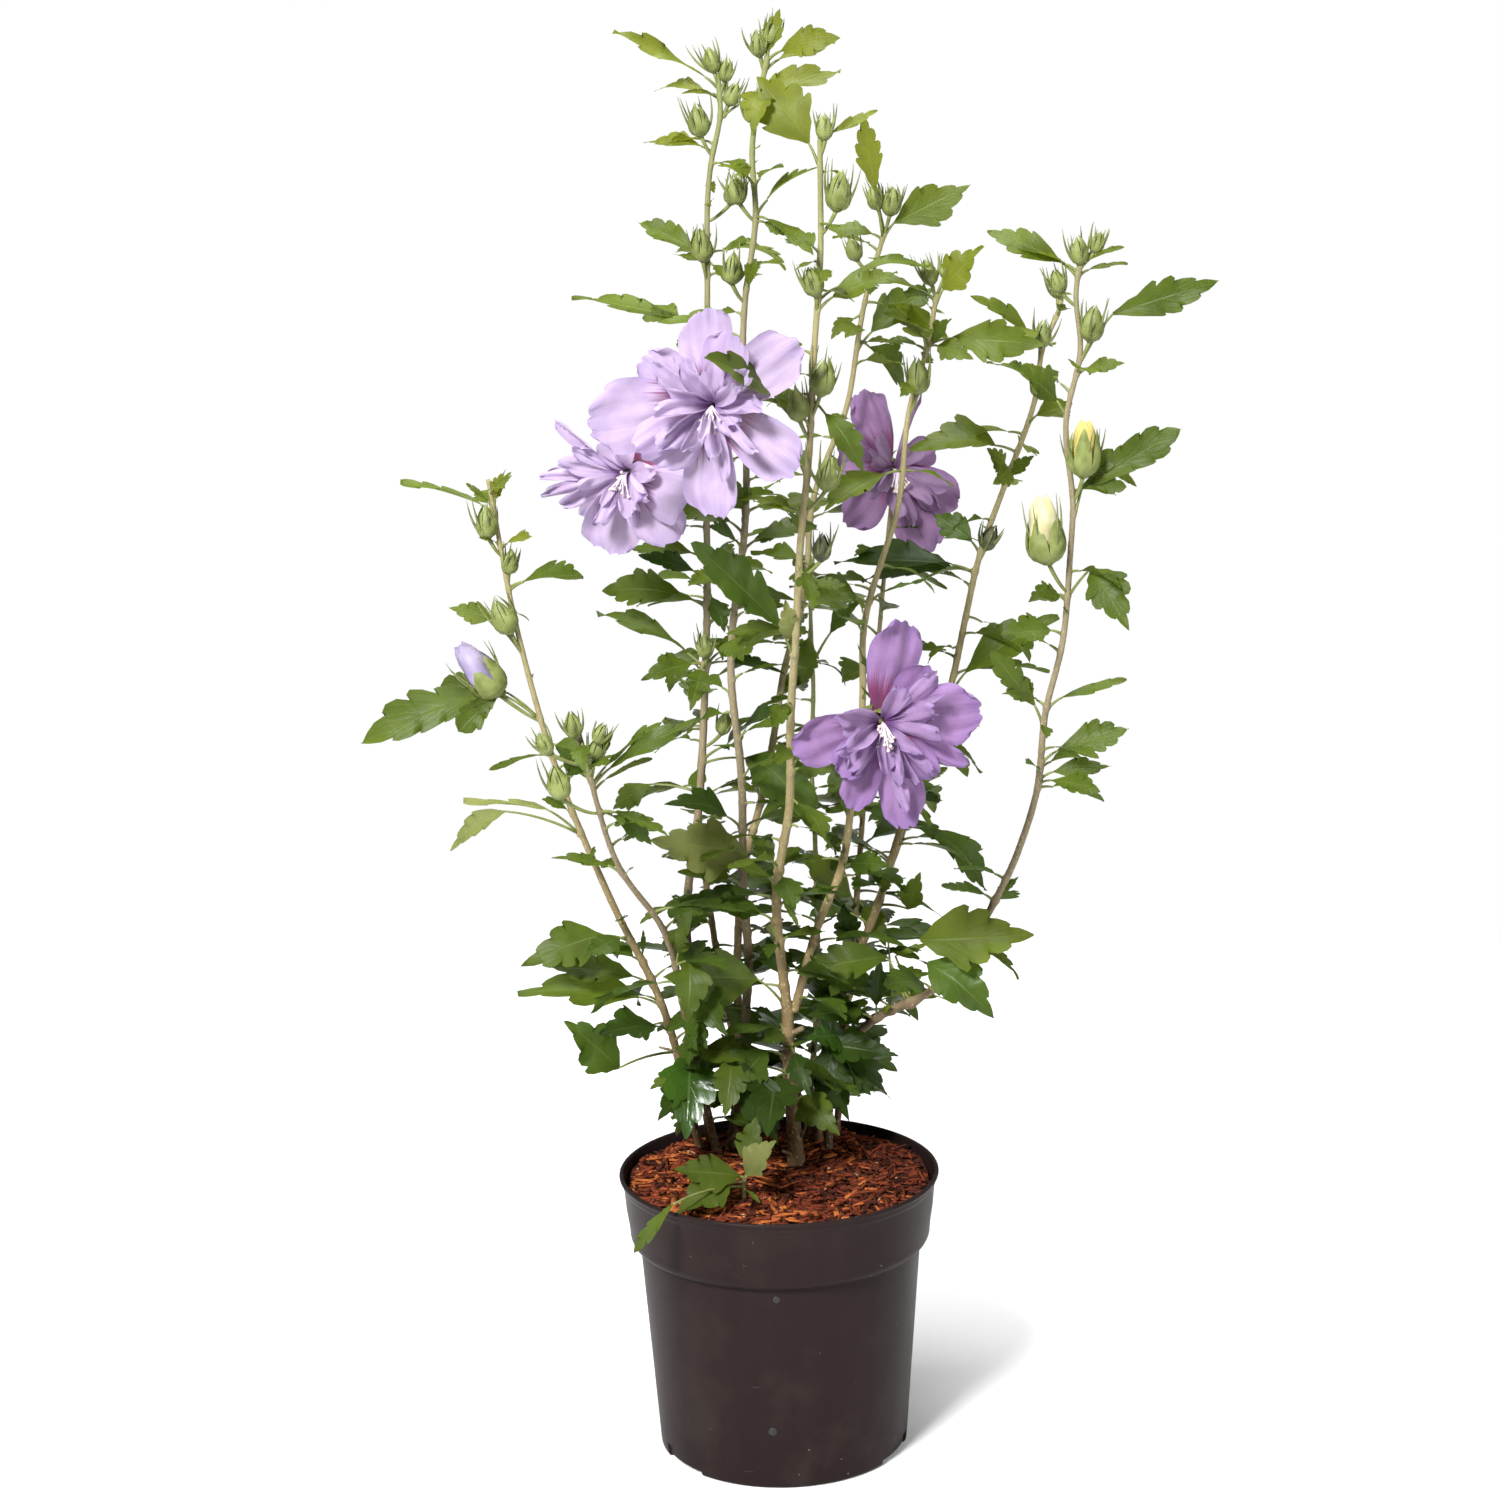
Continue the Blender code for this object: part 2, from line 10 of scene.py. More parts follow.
import bmesh
import bpy
import numpy as np
from mathutils import Matrix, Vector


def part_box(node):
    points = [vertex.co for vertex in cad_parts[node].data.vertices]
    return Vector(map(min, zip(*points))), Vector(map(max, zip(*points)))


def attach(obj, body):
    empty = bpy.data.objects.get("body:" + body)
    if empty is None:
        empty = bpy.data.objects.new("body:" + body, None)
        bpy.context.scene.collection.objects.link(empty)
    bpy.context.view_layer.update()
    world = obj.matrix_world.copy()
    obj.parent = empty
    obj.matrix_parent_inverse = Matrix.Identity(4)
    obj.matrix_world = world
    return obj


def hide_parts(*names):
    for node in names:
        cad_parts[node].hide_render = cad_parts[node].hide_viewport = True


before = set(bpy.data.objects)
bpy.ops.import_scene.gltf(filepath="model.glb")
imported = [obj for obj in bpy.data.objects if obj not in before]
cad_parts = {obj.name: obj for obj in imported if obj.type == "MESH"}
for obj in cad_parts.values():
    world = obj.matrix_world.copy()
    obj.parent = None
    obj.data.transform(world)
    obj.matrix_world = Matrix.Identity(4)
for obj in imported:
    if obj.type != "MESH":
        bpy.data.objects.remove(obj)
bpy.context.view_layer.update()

MM = 0.001
UP = np.array([0.0, 0.0, 1.0])
GOLDEN_TURN = math.radians(137.5)

# Camera: where the eye is, how it is turned in degrees, its lens, and the pixels of its frame.
EYE = np.array([0.0, -1699.2, 784.7])
YAW, PITCH, ROLL = -0.395, 11.931, -1.257
LENS, SENSOR, FRAME_PIXELS = 72, 36, 1500

# Pot: the wall leans out from a rounded foot up to the crease, where the band of the rim starts.
POT_HEIGHT = 170.7
RIM_RADIUS = 95.0
CREASE_HEIGHT = 127.2
CREASE_RADIUS = 83.7
BASE_RADIUS = 73.2
FOOT_ROUNDING = 2.5
WALL = 1.5
FLOOR = 2.5
FOOT_SWELL = 1.3
POT_SIDES = 288
# Drainage notches: bearings in degrees from the front, top, width, how deep they are set in, how
# far in from the foot they run, and how many of the profile's first points lie outside.
NOTCH_BEARINGS = (-55, 65, 185)
NOTCH_HEIGHT = 9
NOTCH_WIDTH = 34
NOTCH_DEPTH = 7
NOTCH_INSET = 12
OUTER_POINTS = 9
# Marks that the mould left on the front: bearing, height and radius.
POT_MARKS = ((-2.0, 121, 2.2), (-5.0, 37, 2.6))
# Top of the mulch: its height at the edge and in the middle, and how much higher the back is.
MULCH_EDGE = 159
MULCH_CROWN = 163
MULCH_HEAP = 5.5
MULCH_RADIUS = 90

# Limbs: radius at the foot and at the tip, then the points that each one passes.
FOOT = 156
FLARE = 0.45
FLARE_HEIGHT = 14
LIMBS = {
    "trunk": (4.6, 3.5, [(11, 23, FOOT), (8, 22, 218), (7, 18, 268)]),
    "stem_front_tall": (3, 1.4, [
        (7, 18, 262), (2, 6, 330), (10, -15, 396), (12, -31, 446), (16, -48, 509), (21, -63, 573),
        (29, -77, 664), (32, -81, 719), (33, -84, 776),
    ]),
    "stem_front_right": (2.6, 1.3, [
        (11, 18, 262), (26, 18, 314), (43, 13, 362), (48, 9, 393), (54, 0, 460), (55, -6, 496),
        (74, -16, 565), (83, -24, 628), (91, -28, 656), (97, -32, 687),
    ]),
    "stem_right_arch_foot": (2.9, 2.1, [
        (30, 48, FOOT), (35, 46, 214), (57, 38, 248), (94, 22, 273), (124, 4, 320),
    ]),
    "stem_right_arch": (2.1, 1.4, [
        (124, 4, 320), (143, -11, 366), (152, -21, 400), (157, -34, 455), (164, -40, 491),
        (169, -49, 540), (170, -53, 566), (165, -61, 619), (172, -63, 657), (170, -65, 689),
        (172, -66, 704),
    ]),
    "stem_right_rear": (2.9, 1.4, [
        (23, 60, FOOT), (36, 62, 249), (59, 65, 302), (77, 68, 357), (110, 74, 449), (118, 77, 486),
        (129, 79, 528), (142, 82, 565), (161, 85, 616), (166, 86, 647), (177, 87, 675), (176, 88, 687),
    ]),
    "stem_lean_right": (2.8, 1.4, [
        (-19, 68, FOOT), (-23, 75, 253), (-21, 79, 312), (-7, 84, 375), (4, 90, 424), (9, 93, 452),
        (22, 98, 497), (27, 102, 548), (50, 104, 614), (64, 104, 684), (74, 104, 715),
    ]),
    "stem_tallest": (3, 1.4, [
        (-30, 57, FOOT), (-16, 40, 288), (-18, 27, 341), (-17, 7, 415), (-22, -7, 473), (-12, -28, 558),
        (-10, -38, 601), (-9, -49, 688), (-2, -51, 732), (-3, -52, 767), (6, -53, 816),
    ]),
    "stem_left_tall": (3, 1.4, [
        (-41, 63, FOOT), (-52, 62, 320), (-45, 63, 370), (-39, 64, 431), (-36, 64, 510), (-32, 61, 663),
        (-27, 57, 758), (-21, 55, 787), (-22, 54, 809),
    ]),
    "stem_left_arch": (2.7, 1.3, [
        (-46, 53, FOOT), (-72, 40, 271), (-97, 32, 329), (-139, 12, 467), (-157, -2, 586),
    ]),
    "stem_left_low": (2.7, 1.2, [
        (-36, 46, FOOT), (-51, 24, 241), (-64, -12, 321), (-87, -44, 368), (-106, -92, 464),
    ]),
    "stem_thin_middle": (2, 1.1, [
        (16, 66, FOOT), (26, 72, 259), (26, 76, 346), (25, 79, 405), (27, 80, 439), (26, 82, 500),
        (28, 83, 526),
    ]),
    "stem_thin_rear": (2.2, 1.2, [(35, 67, FOOT), (47, 86, 270), (61, 108, 408), (77, 118, 556)]),
    "stem_rear_left": (2.5, 1.2, [
        (-10, 74, FOOT), (-38, 98, 291), (-45, 122, 369), (-40, 138, 435), (-38, 148, 484),
        (-38, 154, 524),
    ]),
    "stem_rear_right": (2.5, 1.2, [
        (24, 76, FOOT), (52, 98, 270), (74, 122, 324), (91, 142, 368), (102, 158, 403),
    ]),
    "stem_front_sprout": (1.9, 1.1, [(-20, -30, FOOT), (-21, -33, 170), (-20, -36, 178)]),
    "bloom_stalk_right": (1.5, 1.5, [(53, 2, 447), (58, -36, 456), (63, -74, 458)]),
    "bloom_stalk_left": (1.5, 1.5, [(-36, 63, 566), (-50, 42, 580), (-70, 9, 586)]),
}
# Cut stubs and dead twigs at the foot: limb, height, how far the end is right, back and up, radius.
STUBS = (
    ("trunk", 176, 9, -7, 22, 0.9), ("trunk", 248, 9, -5, 5, 1.9), ("stem_left_low", 168, 12, -12, 14, 0.8),
    ("trunk", 170, -8, -8, 6, 1.1), ("stem_right_arch_foot", 196, 12, -10, 12, 0.8),
    ("stem_left_low", 236, -20, -12, 7, 0.9), ("stem_tallest", 230, -12, -10, 12, 0.9),
)
STUB_TAPER = np.array([1.1, 1.0, 0.95, 0.9, 0.95, 0.8])
BROWN_LIMBS = ("stem_left_tall", "stem_tallest", "stem_left_low", "stem_right_arch", "stem_right_arch_foot")
GREEN_LIMBS = ("bloom_stalk_right", "bloom_stalk_left", "stem_front_sprout", "stem_thin_middle")
# Surface of a limb: the step along it, how far it strays and in waves of what length, the points
# round it, below which height its bark gets furrows, over how many millimetres, and how far along
# a node's swelling reaches.
LIMB_STEP = 1.6
WOBBLE = 0.55
WOBBLE_WAVES = (70, 190)
TAPER = 0.85
LIMB_SIDES = 18
OLD_WOOD_TOP = 430
OLD_WOOD_FADE = 250
NODE_SPREAD = 1.6
# Relief of the bark: furrows and the node's ring and cushion as shares of the radius, and warts in
# millimetres, on young wood and how much more on old.
FURROWS = 0.035
WARTS, OLD_WARTS = 0.05, 0.13
NODE_RING, NODE_CUSHION = 0.07, 0.30

# Leaves that show, limb by limb: the height of the leaf's node on its limb, how far its tip is
# right, back and up from there, its kind, and how far it turns its face to the front (0 to 1).
# Where they differ from the rest its tone follows, then the length of its stalk or how far the
# stalk's end is right, back and up from the node, then how high the blade arches for its length.
LEAVES = {
    "stem_tallest": [
        (814, 39, -20, 10, "ovate", 0.6, None, None, 0.2), (812, 8, -5, 28, "ovate", 0.8),
        (748, -17, -40, 13, "ovate", 0.4), (748, 16, -30, 10, "ovate", 0.4),
        (733, 33, -30, 24, "ovate", 0.5), (731, 30, -50, -19, "slender", 0.5, None, 12),
        (693, 7, -20, 14, "broad", 0.8, "bright", 3), (564, -9, -10, 27, "broad", 0.8, "mid"),
        (547, -18, -30, 17, "broad", 0.7, "dark"), (376, -44, -40, 24, "ovate", 0.6, "dark", None, 0.2),
        (353, -53, -22, 20, "broad", 0.85, "under", (3, -4, 6), 0.12),
        (340, -38, -20, 12, "broad", 0.7, "mid"),
    ],
    "stem_left_tall": [
        (801, -59, -10, 32, "slender", 0.5, None, (-8, -1, 6)),
        (795, -38, 20, 5, "ovate", 0.2, None, None, 0.2), (784, 70, 20, 25, "ovate", 0.4, None, 13),
        (765, -41, 30, 6, "ovate", 0.3, None, 9), (702, -40, 20, 23, "ovate", 0.6),
        (701, -20, 10, 6, "ovate", 0.5), (707, 46, 60, -13, "ovate", 0.3, None, None, 0.2),
        (702, 14, -20, -12, "ovate", 0.6), (662, -80, 30, 20, "lobed", 0.5, None, 13),
        (528, -46, 20, 5, "ovate", 0.4), (516, -40, -10, 17, "ovate", 0.5, "dark"),
        (500, -63, 20, 7, "ovate", 0.5, None, None, 0.2), (510, 10, -20, -23, "ovate", 0.7, "deep"),
        (509, -11, -20, 9, "broad", 0.6, "deep"), (463, -66, 40, 27, "slender", 0.3, None, None, 0.15),
        (466, -9, -30, -23, "broad", 0.9), (465, -38, -20, -5, "broad", 0.8),
        (466, 42, -10, 21, "broad", 0.7), (465, 47, 20, -11, "ovate", 0.3, "dark"),
        (408, 52, -30, 37, "broad", 0.6, "dark", (15, -8, 9)),
        (405, 70, -60, -33, "ovate", 0.5, "deep", (26, -18, 6), 0.3),
        (387, -53, 10, -12, "broad", 0.9, None, (-30, 6, 4)), (317, -29, -10, -9, "slender", 0.3, "mid"),
        (320, -9, -10, 5, "ovate", 0.5, "dark"),
    ],
    "stem_lean_right": [
        (713, -12, -20, 71, "long", 0.8, "young", (-5, -8, 27)),
        (715, 52, 10, 27, "broad", 0.8, None, (6, 1, 6)), (712, -32, 0, 6, "broad", 0.7),
        (667, -19, -10, -13, "ovate", 0.5), (652, 30, 40, -35, "broad", 0.6, "mid"),
        (647, 49, 30, 34, "broad", 0.6, "mid"), (544, -34, 30, 10, "broad", 0.6),
        (539, -35, 10, -8, "ovate", 0.5, "dark"), (408, 11, -10, 4, "ovate", 0.5, "dark"),
        (380, -22, -10, 10, "ovate", 0.5), (358, 24, -20, 28, "ovate", 0.5),
    ],
    "stem_front_tall": [
        (759, -32, 14, 46, "broad", 0.9, "young"), (770, 31, 10, 16, "slender", 0.6),
        (755, 13, 10, -6, "slender", 0.4, None, None, 0.4), (708, -14, -10, -4, "slender", 0.5),
        (683, 43, 0, 19, "broad", 0.7), (688, 62, 40, 14, "slender", 0.3, None, None, 0.25),
        (633, 27, -20, -37, "ovate", 0.6, "mid"), (620, -56, -60, 42, "slender", 0.9, "mid"),
        (596, -32, 20, 2, "ovate", 0.5, "dark"), (489, -55, -40, 70, "long", 0.9, "deep", (-9, -9, 19)),
        (489, -5, -10, 33, "ovate", 0.8, "under"), (418, 24, -10, 1, "broad", 0.6),
        (353, -16, 20, 18, "broad", 0.8), (354, 12, 20, 9, "broad", 0.8),
        (345, -26, -10, 15, "ovate", 0.6, "mid"), (353, 9, -30, -16, "broad", 0.9, "deep"),
        (342, 12, -20, -18, "slender", 0.6, "mid"), (336, -50, 0, -4, "ovate", 0.4, "dark", None, 0.15),
        (321, -44, -20, 14, "broad", 0.8), (308, 27, -10, 8, "ovate", 0.5, "mid"),
        (301, -5, -30, 25, "broad", 0.9, "under"), (279, -10, 20, 25, "broad", 0.8, "dark"),
        (268, -72, -34, 27, "broad", 0.9, "mid", (-17, -10, 18)),
    ],
    "stem_front_right": [
        (683, 25, -20, 30, "broad", 0.9, "young", 8), (683, -17, 22, 3, "broad", 0.6, "mid"),
        (659, 62, -20, 0, "ovate", 0.8), (658, 24, -20, -6, "broad", 0.8),
        (656, -10, -30, 28, "broad", 0.9), (656, 13, -20, 18, "ovate", 0.7, "mid"),
        (656, -25, 20, 3, "ovate", 0.4, "mid"), (588, -46, -30, -19, "ovate", 0.5),
        (588, 29, 10, -11, "slender", 0.3), (512, -36, -10, 8, "ovate", 0.5, None, None, 0.5),
        (513, 32, -12, 13, "slender", 0.3, "deep"), (357, -9, -20, 15, "ovate", 0.6, "dark"),
        (351, 27, -30, 8, "broad", 0.7, "deep"),
    ],
    "stem_thin_middle": [
        (520, -37, 20, 6, "ovate", 0.4), (484, -6, -20, -33, "ovate", 0.8),
        (463, 20, 10, -18, "slender", 0.4, "deep"), (462, 30, -10, 39, "ovate", 0.6, "deep", (11, -4, 18)),
        (384, 14, 0, 2, "slender", 0.3), (300, -6, -30, 31, "broad", 0.9, "mid"),
    ],
    "stem_thin_rear": [
        (402, -29, -30, -7, "ovate", 0.6, "dark"), (308, -34, -40, 42, "ovate", 0.9, "bright", 8),
        (311, 17, -30, -23, "ovate", 0.5, "mid", None, 0.3), (281, -6, -20, 34, "broad", 0.9, "dark"),
        (301, 8, 10, 2, "ovate", 0.6, "dark"),
    ],
    "stem_right_rear": [
        (646, -43, -10, 33, "slender", 0.6, None, None, 0.2),
        (586, -65, -20, 4, "broad", 0.5, None, None, 0.25), (569, -13, -22, 22, "ovate", 0.8),
        (568, 16, -12, 17, "ovate", 0.8, "mid"), (527, -27, 20, 21, "broad", 0.8, "deep"),
        (515, -84, 20, 5, "ovate", 0.4, "dark"), (515, -67, 30, -9, "broad", 0.6, "dark"),
        (470, -20, -20, -6, "broad", 0.8, None, None, 0.4),
        (443, 64, -20, 48, "ovate", 0.7, None, (10, -4, 13)), (378, 20, 10, -3, "ovate", 0.7, "dark"),
        (378, -27, -30, -6, "ovate", 0.7, "dark"), (365, 27, 0, -13, "ovate", 0.7, "deep"),
        (362, 51, 0, -41, "ovate", 0.5, "deep", (17, 0, -3), 0.3), (317, 6, -10, 19, "ovate", 0.8, "mid"),
        (314, 25, -20, 25, "broad", 0.9, "mid", (18, -12, 0)),
    ],
    "stem_right_arch": [
        (697, -48, 10, 24, "ovate", 0.5, None, None, 0.15), (701, 23, -10, 11, "slender", 0.5),
        (697, 28, 10, 5, "slender", 0.3), (651, 74, -10, 42, "long", 0.8, "mid", (18, -2, 25), 0.06),
        (644, 25, -10, 6, "ovate", 0.6), (622, -31, -12, 30, "broad", 0.7, "mid"),
        (566, 58, -10, 47, "lobed", 0.9, "mid", (5, -2, 15)),
        (520, 30, -34, -15, "broad", 0.95, "mid", (12, -10, 16), 0.1), (517, -21, -10, 5, "broad", 0.7),
        (445, -31, -10, 43, "lobed", 0.8), (454, 44, -10, 17, "slender", 0.6),
        (421, 49, -10, 20, "ovate", 0.7), (411, 40, -10, 8, "ovate", 0.7), (408, 32, -30, 1, "ovate", 0.7),
        (415, -10, -22, 10, "broad", 0.7), (333, -32, -10, 12, "ovate", 0.6),
        (333, 14, 0, 14, "ovate", 0.6),
    ],
    "stem_right_arch_foot": [
        (292, 43, -30, 24, "broad", 0.95, "bright", (-22, -11, 17), 0.12),
        (303, 26, -10, -10, "slender", 0.5, "mid", None, 0.3),
        (300, 32, 10, -22, "slender", 0.4, "mid", None, 0.35),
        (283, 26, -30, -18, "broad", 0.8, None, (-12, -11, 11), 0.35),
        (263, -67, -20, 25, "ovate", 0.6, "mid", (-13, -9, 31)),
        (263, 11, 0, 36, "slender", 0.4, "bright", (-8, 0, 29)),
        (263, 19, -10, 20, "ovate", 0.5, "mid", (-10, -6, 16)),
        (257, 36, 0, 4, "slender", 0.5, "mid", (-6, 0, 6), 0.3), (253, 7, -10, 9, "ovate", 0.7, "bright"),
        (251, 3, -10, 38, "ovate", 0.6, "dark"), (257, 22, 10, 43, "ovate", 0.4, "dark", (-1, 6, 45)),
        (265, 23, 0, 9, "ovate", 0.5, "dark"), (251, -41, -30, 12, "broad", 0.8, "dark"),
        (236, -28, -40, 14, "broad", 0.9, "gloss"), (232, 24, -30, 4, "broad", 0.9, "dark", (-15, -16, 6)),
        (223, 4, -30, -29, "broad", 0.9, "dark", (-5, -6, 8)),
        (217, 21, -24, -10, "broad", 0.9, "dark", (-5, -7, 8)),
        (226, 26, -10, -22, "broad", 0.7, "dark", (-1, -1, -2)),
        (229, -17, -20, -30, "broad", 0.9, "dark", (-7, -5, 8)),
    ],
    "trunk": [
        (222, -14, -72, -14, "broad", 0.95, "dark", (-8, -17, 4), 0.1),
        (223, -8, -40, -32, "broad", 0.95, "dark", (-22, -20, 11)),
        (234, -40, -36, -23, "broad", 0.9, None, (-13, -9, 6)),
        (204, 28, -34, -10, "broad", 0.9, "mid", (7, -7, 6)), (247, -16, -30, 5, "broad", 0.8),
        (250, -25, -10, 18, "ovate", 0.6, "dark"), (241, 13, -30, -25, "broad", 0.9, "dark"),
    ],
    "stem_left_arch": [
        (567, -54, 10, 17, "slender", 0.1, None, 9), (570, 9, -12, 23, "broad", 0.9, "young"),
        (570, -15, 0, 14, "slender", 0.6), (546, 20, -20, 9, "broad", 0.8, "young"),
        (548, -11, -10, 6, "slender", 0.6, "bright"), (523, 43, 10, 3, "ovate", 0.4, None, None, 0.2),
        (485, -42, 0, 26, "broad", 0.8, "bright", (-17, 0, 19)), (508, 9, 0, -5, "slender", 0.4),
        (444, -104, -10, -11, "lobed", 0.9, "mid", (-19, -2, 16)),
        (444, -39, -12, 1, "ovate", 0.8, None, (-24, -7, 17)), (421, -35, -20, -4, "slender", 0.5),
        (372, -69, 0, 21, "slender", 0.5, "under", (-20, 0, 15)),
        (372, -76, -20, -4, "ovate", 0.6, "under", (-43, -12, 17)), (384, -18, -10, 12, "ovate", 0.6),
        (303, -65, -20, -9, "broad", 0.8, "mid", (-16, -5, 5)), (305, -26, -30, -3, "broad", 0.8),
        (274, -62, -10, 15, "ovate", 0.6, "mid"), (261, -86, -10, 12, "ovate", 0.5, "mid", None, 0.15),
        (244, -41, -40, 11, "broad", 0.6, "dark"), (280, -7, 20, -25, "broad", 0.7, "dark"),
        (289, 1, 0, 20, "slender", 0.7), (230, -64, -40, 33, "broad", 0.9, None, (-34, -21, -3)),
    ],
    "stem_left_low": [
        (426, -18, -10, 22, "broad", 0.9, "deep"), (427, 14, -10, 29, "slender", 0.7),
        (423, 61, -10, 38, "slender", 0.7), (424, 43, 0, 36, "slender", 0.4),
        (420, 33, 10, 15, "slender", 0.1), (406, 29, 0, -20, "ovate", 0.5, "deep"),
        (404, 29, 20, -12, "slender", 0.4, "bright"), (365, -39, -10, 12, "slender", 0.6),
        (362, 6, -10, 8, "slender", 0.5), (295, 10, -40, 45, "lobed", 0.9, "mid"),
        (283, 5, -40, -11, "broad", 0.9, "mid", (7, -24, 21)),
        (272, 27, -44, -9, "broad", 0.9, None, (7, -11, 9)), (265, 14, -30, -15, "broad", 0.8),
        (233, -5, -42, -38, "broad", 0.95, "gloss", (-2, -2, 3)),
        (237, 19, -50, -25, "broad", 0.95, "mid", (23, -26, 4)), (238, 34, -40, 2, "broad", 0.8, "mid"),
        (212, -25, -46, -6, "broad", 0.8, "dark"), (220, -29, -20, -2, "ovate", 0.6, "mid"),
    ],
    "stem_rear_right": [
        (401, 16, 8, 22, "ovate", 0.3), (399, -4, 30, 12, "slender", 0.3), (392, 24, 24, -4, "ovate", 0.3),
        (381, -10, 32, 4, "ovate", 0.2), (366, 22, 26, 10, "ovate", 0.2), (352, -6, 36, 8, "lobed", 0.2),
    ],
    "stem_front_sprout": [
        (178, -42, -12, 10, "broad", 0.6, "mid", 3), (175, -42, -34, -8, "broad", 0.7, "mid", (-8, -8, 2)),
        (172, -62, -68, -14, "slender", 0.5, "mid", (-40, -44, 6), 0.1),
        (178, 19, -16, 28, "broad", 0.9, "under", 2),
        (178, 8, 8, 36, "broad", 0.9, "mid", 8), (170, 10, -14, -4, "slender", 0.3, "bright", 2),
    ],
}

# Buds, limb by limb: middle of each one, its lean to the right in degrees, its length and its stage.
BUDS = {
    "stem_tallest": [
        (1, -54, 824, -8, 18, "green"), (9, -55, 830, 14, 17, "green"), (-4, -56, 790, -8, 18, "green"),
        (-13, -56, 748, -14, 21, "green"), (-15, -53, 706, 4, 22, "green"),
    ],
    "stem_left_tall": [
        (-26, 53, 818, -14, 19, "green"), (-17, 54, 812, 10, 17, "green"), (-13, 55, 799, 24, 19, "green"),
        (-34, 54, 785, -8, 24, "green"), (-14, 57, 744, 16, 20, "green"), (-34, 56, 715, -4, 25, "green"),
        (-38, 60, 479, -6, 20, "green"), (-27, 60, 431, 14, 18, "green"),
    ],
    "stem_front_tall": [
        (35, -85, 780, -4, 18, "green"), (43, -85, 747, 10, 27, "green"), (27, -82, 700, -14, 22, "green"),
        (33, -78, 649, 10, 27, "green"), (18, -75, 634, -8, 24, "green"), (35, -70, 596, 8, 26, "green"),
        (31, -58, 553, 6, 20, "brown"),
    ],
    "stem_lean_right": [
        (68, 103, 738, -16, 20, "green"), (79, 104, 736, 10, 23, "green"), (55, 103, 708, -16, 19, "green"),
    ],
    "stem_front_right": [
        (92, -33, 700, -14, 18, "green"), (103, -33, 702, 18, 15, "green"), (86, -30, 644, 0, 26, "green"),
    ],
    "stem_right_arch": [
        (171, -67, 712, -8, 20, "green"), (182, -67, 716, 20, 16, "green"),
        (159, -67, 696, -18, 17, "green"), (179, -67, 673, 8, 25, "green"),
        (175, -60, 602, 2, 31, "yellow"), (154, -53, 557, -6, 38, "cream"),
    ],
    "stem_right_rear": [
        (175, 87, 684, 0, 17, "green"), (166, 85, 657, 8, 21, "green"), (163, 84, 627, 4, 18, "green"),
        (134, 78, 537, 22, 20, "brown"),
    ],
    "stem_left_arch": [
        (-159, -2, 564, -4, 24, "green"), (-146, 2, 540, 12, 19, "green"), (-153, 4, 509, -22, 29, "green"),
        (-167, 8, 474, -36, 38, "lilac"),
    ],
    "stem_left_low": [
        (-108, -93, 463, -8, 19, "green"), (-125, -88, 452, -26, 18, "green"),
        (-95, -86, 447, 16, 20, "green"), (-118, -79, 428, -10, 25, "green"),
        (-92, -90, 457, 24, 16, "green"),
    ],
}
# Stages of a bud: the skin of its calyx, the reach of the calyx's lobes as a share of the bud's
# length, the share of that which the calyx's body fills, and the radius as a share of the length.
BUD_STAGES = {
    "green": ("calyx", 0.80, 0.90, 0.225),
    "brown": ("brown", 0.80, 0.90, 0.225),
    "cream": ("calyx", 0.72, 0.75, 0.245),
    "lilac": ("calyx", 0.72, 0.75, 0.245),
    "yellow": ("calyx", 0.86, 0.75, 0.245),
}
OPEN_STAGES = ("cream", "lilac", "yellow")
# Where the rolled petals of an open bud start and how long they are, as shares of its length, and
# how far its lobes lean out. A shut bud's lobes lean out by a steady distance.
ROLL_START = 0.12
ROLL_LENGTH = 0.86
OPEN_SPREAD = 0.19
SHUT_SPREAD = 0.2
# Lobes of a calyx, and the spare directions that settle where its first lobe is.
LOBES = 5
BUD_SPARE = (0.3, 1, 0.1)
BLOOM_SPARE = (0.2, 0.1, 1)
ROLL_OUTLINE = ((0, 0.45), (0.15, 0.88), (0.45, 1.0), (0.75, 0.86), (0.93, 0.58), (1, 0.36))
BRACT_RADII = np.array([0.55, 0.88, 0.95, 0.88, 0.76, 0.58, 0.38, 0.14])

